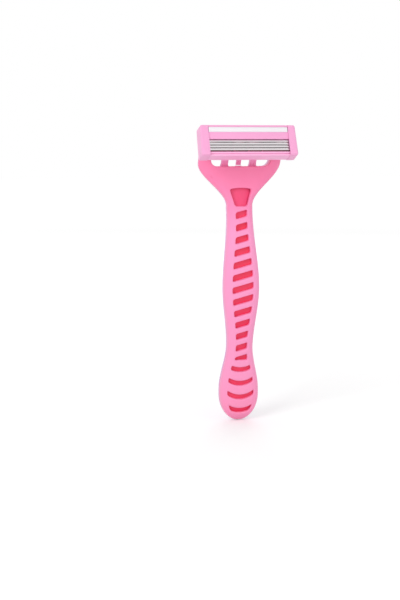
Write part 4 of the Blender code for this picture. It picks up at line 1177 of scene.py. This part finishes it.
# %% Cover, strip and guard
cover_outline = rounded(
    [(0.399, 2.424), (0.549, 2.7), (3.45, 2.95), (3.45, 2.2), (5.75, 2.2), (5.75, 2.95), (6.75, 2.95),
     (6.75, -3.25), (5.9, -3.25), (5.9, 1.3), (2.45, 1.3), (0.699, 2.338)],
    [0.08, 0.15, 0.06, 0.05, 0.05, 0.06, 0.6, 0.3, 0.15, 0.1, 0.1, 0.05])
strip_outline = rounded(
    [(3.5, 2.35), (5.7, 2.35), (5.7, 2.95), (5.2, 3.09), (4.6, 3.15), (4.0, 3.09), (3.5, 2.95)],
    [0.1, 0.1, 0.12, 0.8, 1.5, 0.8, 0.12])
guard_outline = rounded(
    [(-6.1, -2.95), (-6.1, 1.3), (-5.0, 1.3), (-5.0, 2.5), (-5.78, 2.5), (-5.82, 1.85), (-6.1, 2.375),
     (-6.75, 2.375), (-6.75, -2.95)],
    [0.1, 0.05, 0.1, 0.2, 0.06, 0.04, 0.06, 0.58, 0.25])
cover = bar("cover", cover_outline, BODY_END, BAR_EDGE / 3)
strip = bar("strip", strip_outline, BODY_END - SEAM)
guard = bar("guard", guard_outline, BODY_END)
dress(cover, COVER_PINK, "head", "cover_light_pink", "cartridge_cover")
dress(strip, STRIP_WHITE, "head", "strip_white", "lubricating_strip")
dress(guard, GUARD_PINK, "head", "guard_light_pink", "guard_bar")

# %% [markdown]
# Each end cap is a thin box that is open behind and towards the blades. Its outline is a U round the
# cartridge's section, carried outwards along X and then drawn together over the end, so one grid gives
# the walls and the end. An inner sheet in the same way, a wall's thickness inside, closes the body.

# %% End caps
CAP_INNER = 17.4 * MM
HEAD_END = 21.0 * MM
CAP_WALL = 0.65 * MM
CAP_ROUND = 0.9 * MM
CAP_DRAFT = 0.3 * MM


def cap_sheet(half, front, end, edge):
    """Grid over a cap: a U of (v, w) points by rows of x, then the U drawn together to the back's middle.

    Near the end the U is drawn in by edge * (1 - cos), so the end's border is round.
    """
    outline = rounded([(-half / MM, HEAD_BACK / MM), (-half / MM, front / MM), (half / MM, front / MM),
                       (half / MM, HEAD_BACK / MM)], [0.0, 1.3 * edge / MM, edge / MM, 0.0], 9)
    turn = np.linspace(0.0, math.pi / 2, 7)
    x = np.concatenate(([CAP_INNER, CAP_INNER + SEAM, end - 2 * edge], end - edge * (1 - np.sin(turn))))
    drawn = np.concatenate((np.zeros(3), edge * (1 - np.cos(turn))))[:, None, None]
    walls = outline + drawn * inward(outline)
    walls[:, [0, -1], 1] = HEAD_BACK
    middle = np.array((0.0, HEAD_BACK))
    closing = middle + (walls[-1] - middle) * np.linspace(0.8, 0.0, 5)[:, None, None]
    section = np.concatenate((walls, closing))
    x = np.concatenate((x, np.full(5, end)))[:, None]
    draft = CAP_DRAFT * ((section[..., 0] + half) / (2 * half)) ** 2
    return x - draft * (x - CAP_INNER) / (end - CAP_INNER), section


def end_cap(name, turn):
    """A cap at one end; turn is -1 for the left one and 1 for the right one."""
    outer_x, outer = cap_sheet(HEAD_TOP, HEAD_FRONT, HEAD_END, CAP_ROUND)
    inner_x, inner = cap_sheet(HEAD_TOP - CAP_WALL, HEAD_FRONT - CAP_WALL, HEAD_END - CAP_WALL, CAP_ROUND / 2)
    return two_sheets(name, on_head(turn * outer_x, outer[..., 0], outer[..., 1]),
                      on_head(turn * inner_x, inner[..., 0], inner[..., 1]))


dress(end_cap("left_cap", -1), COVER_PINK, "head", "cover_light_pink", "left_end_cap")
dress(end_cap("right_cap", 1), COVER_PINK, "head", "cover_light_pink", "right_end_cap")

# %% [markdown]
# Last come the pieces whose shape in the frame is already right. They keep their own mesh and only get a
# finish.

# %% Finishes of the frame's own pieces
kept = {"cartridge_frame": FRAME_SHADE_PINK}
kept.update({f"blade_{i}": BLADE_STEEL for i in range(1, 5)})
kept.update({f"blade_support_{i}": SUPPORT_STEEL for i in range(1, 5)})
for name, finish in kept.items():
    bpy.data.objects[name].material_slots[0].material = finish
print("kept from the frame:", len(kept))
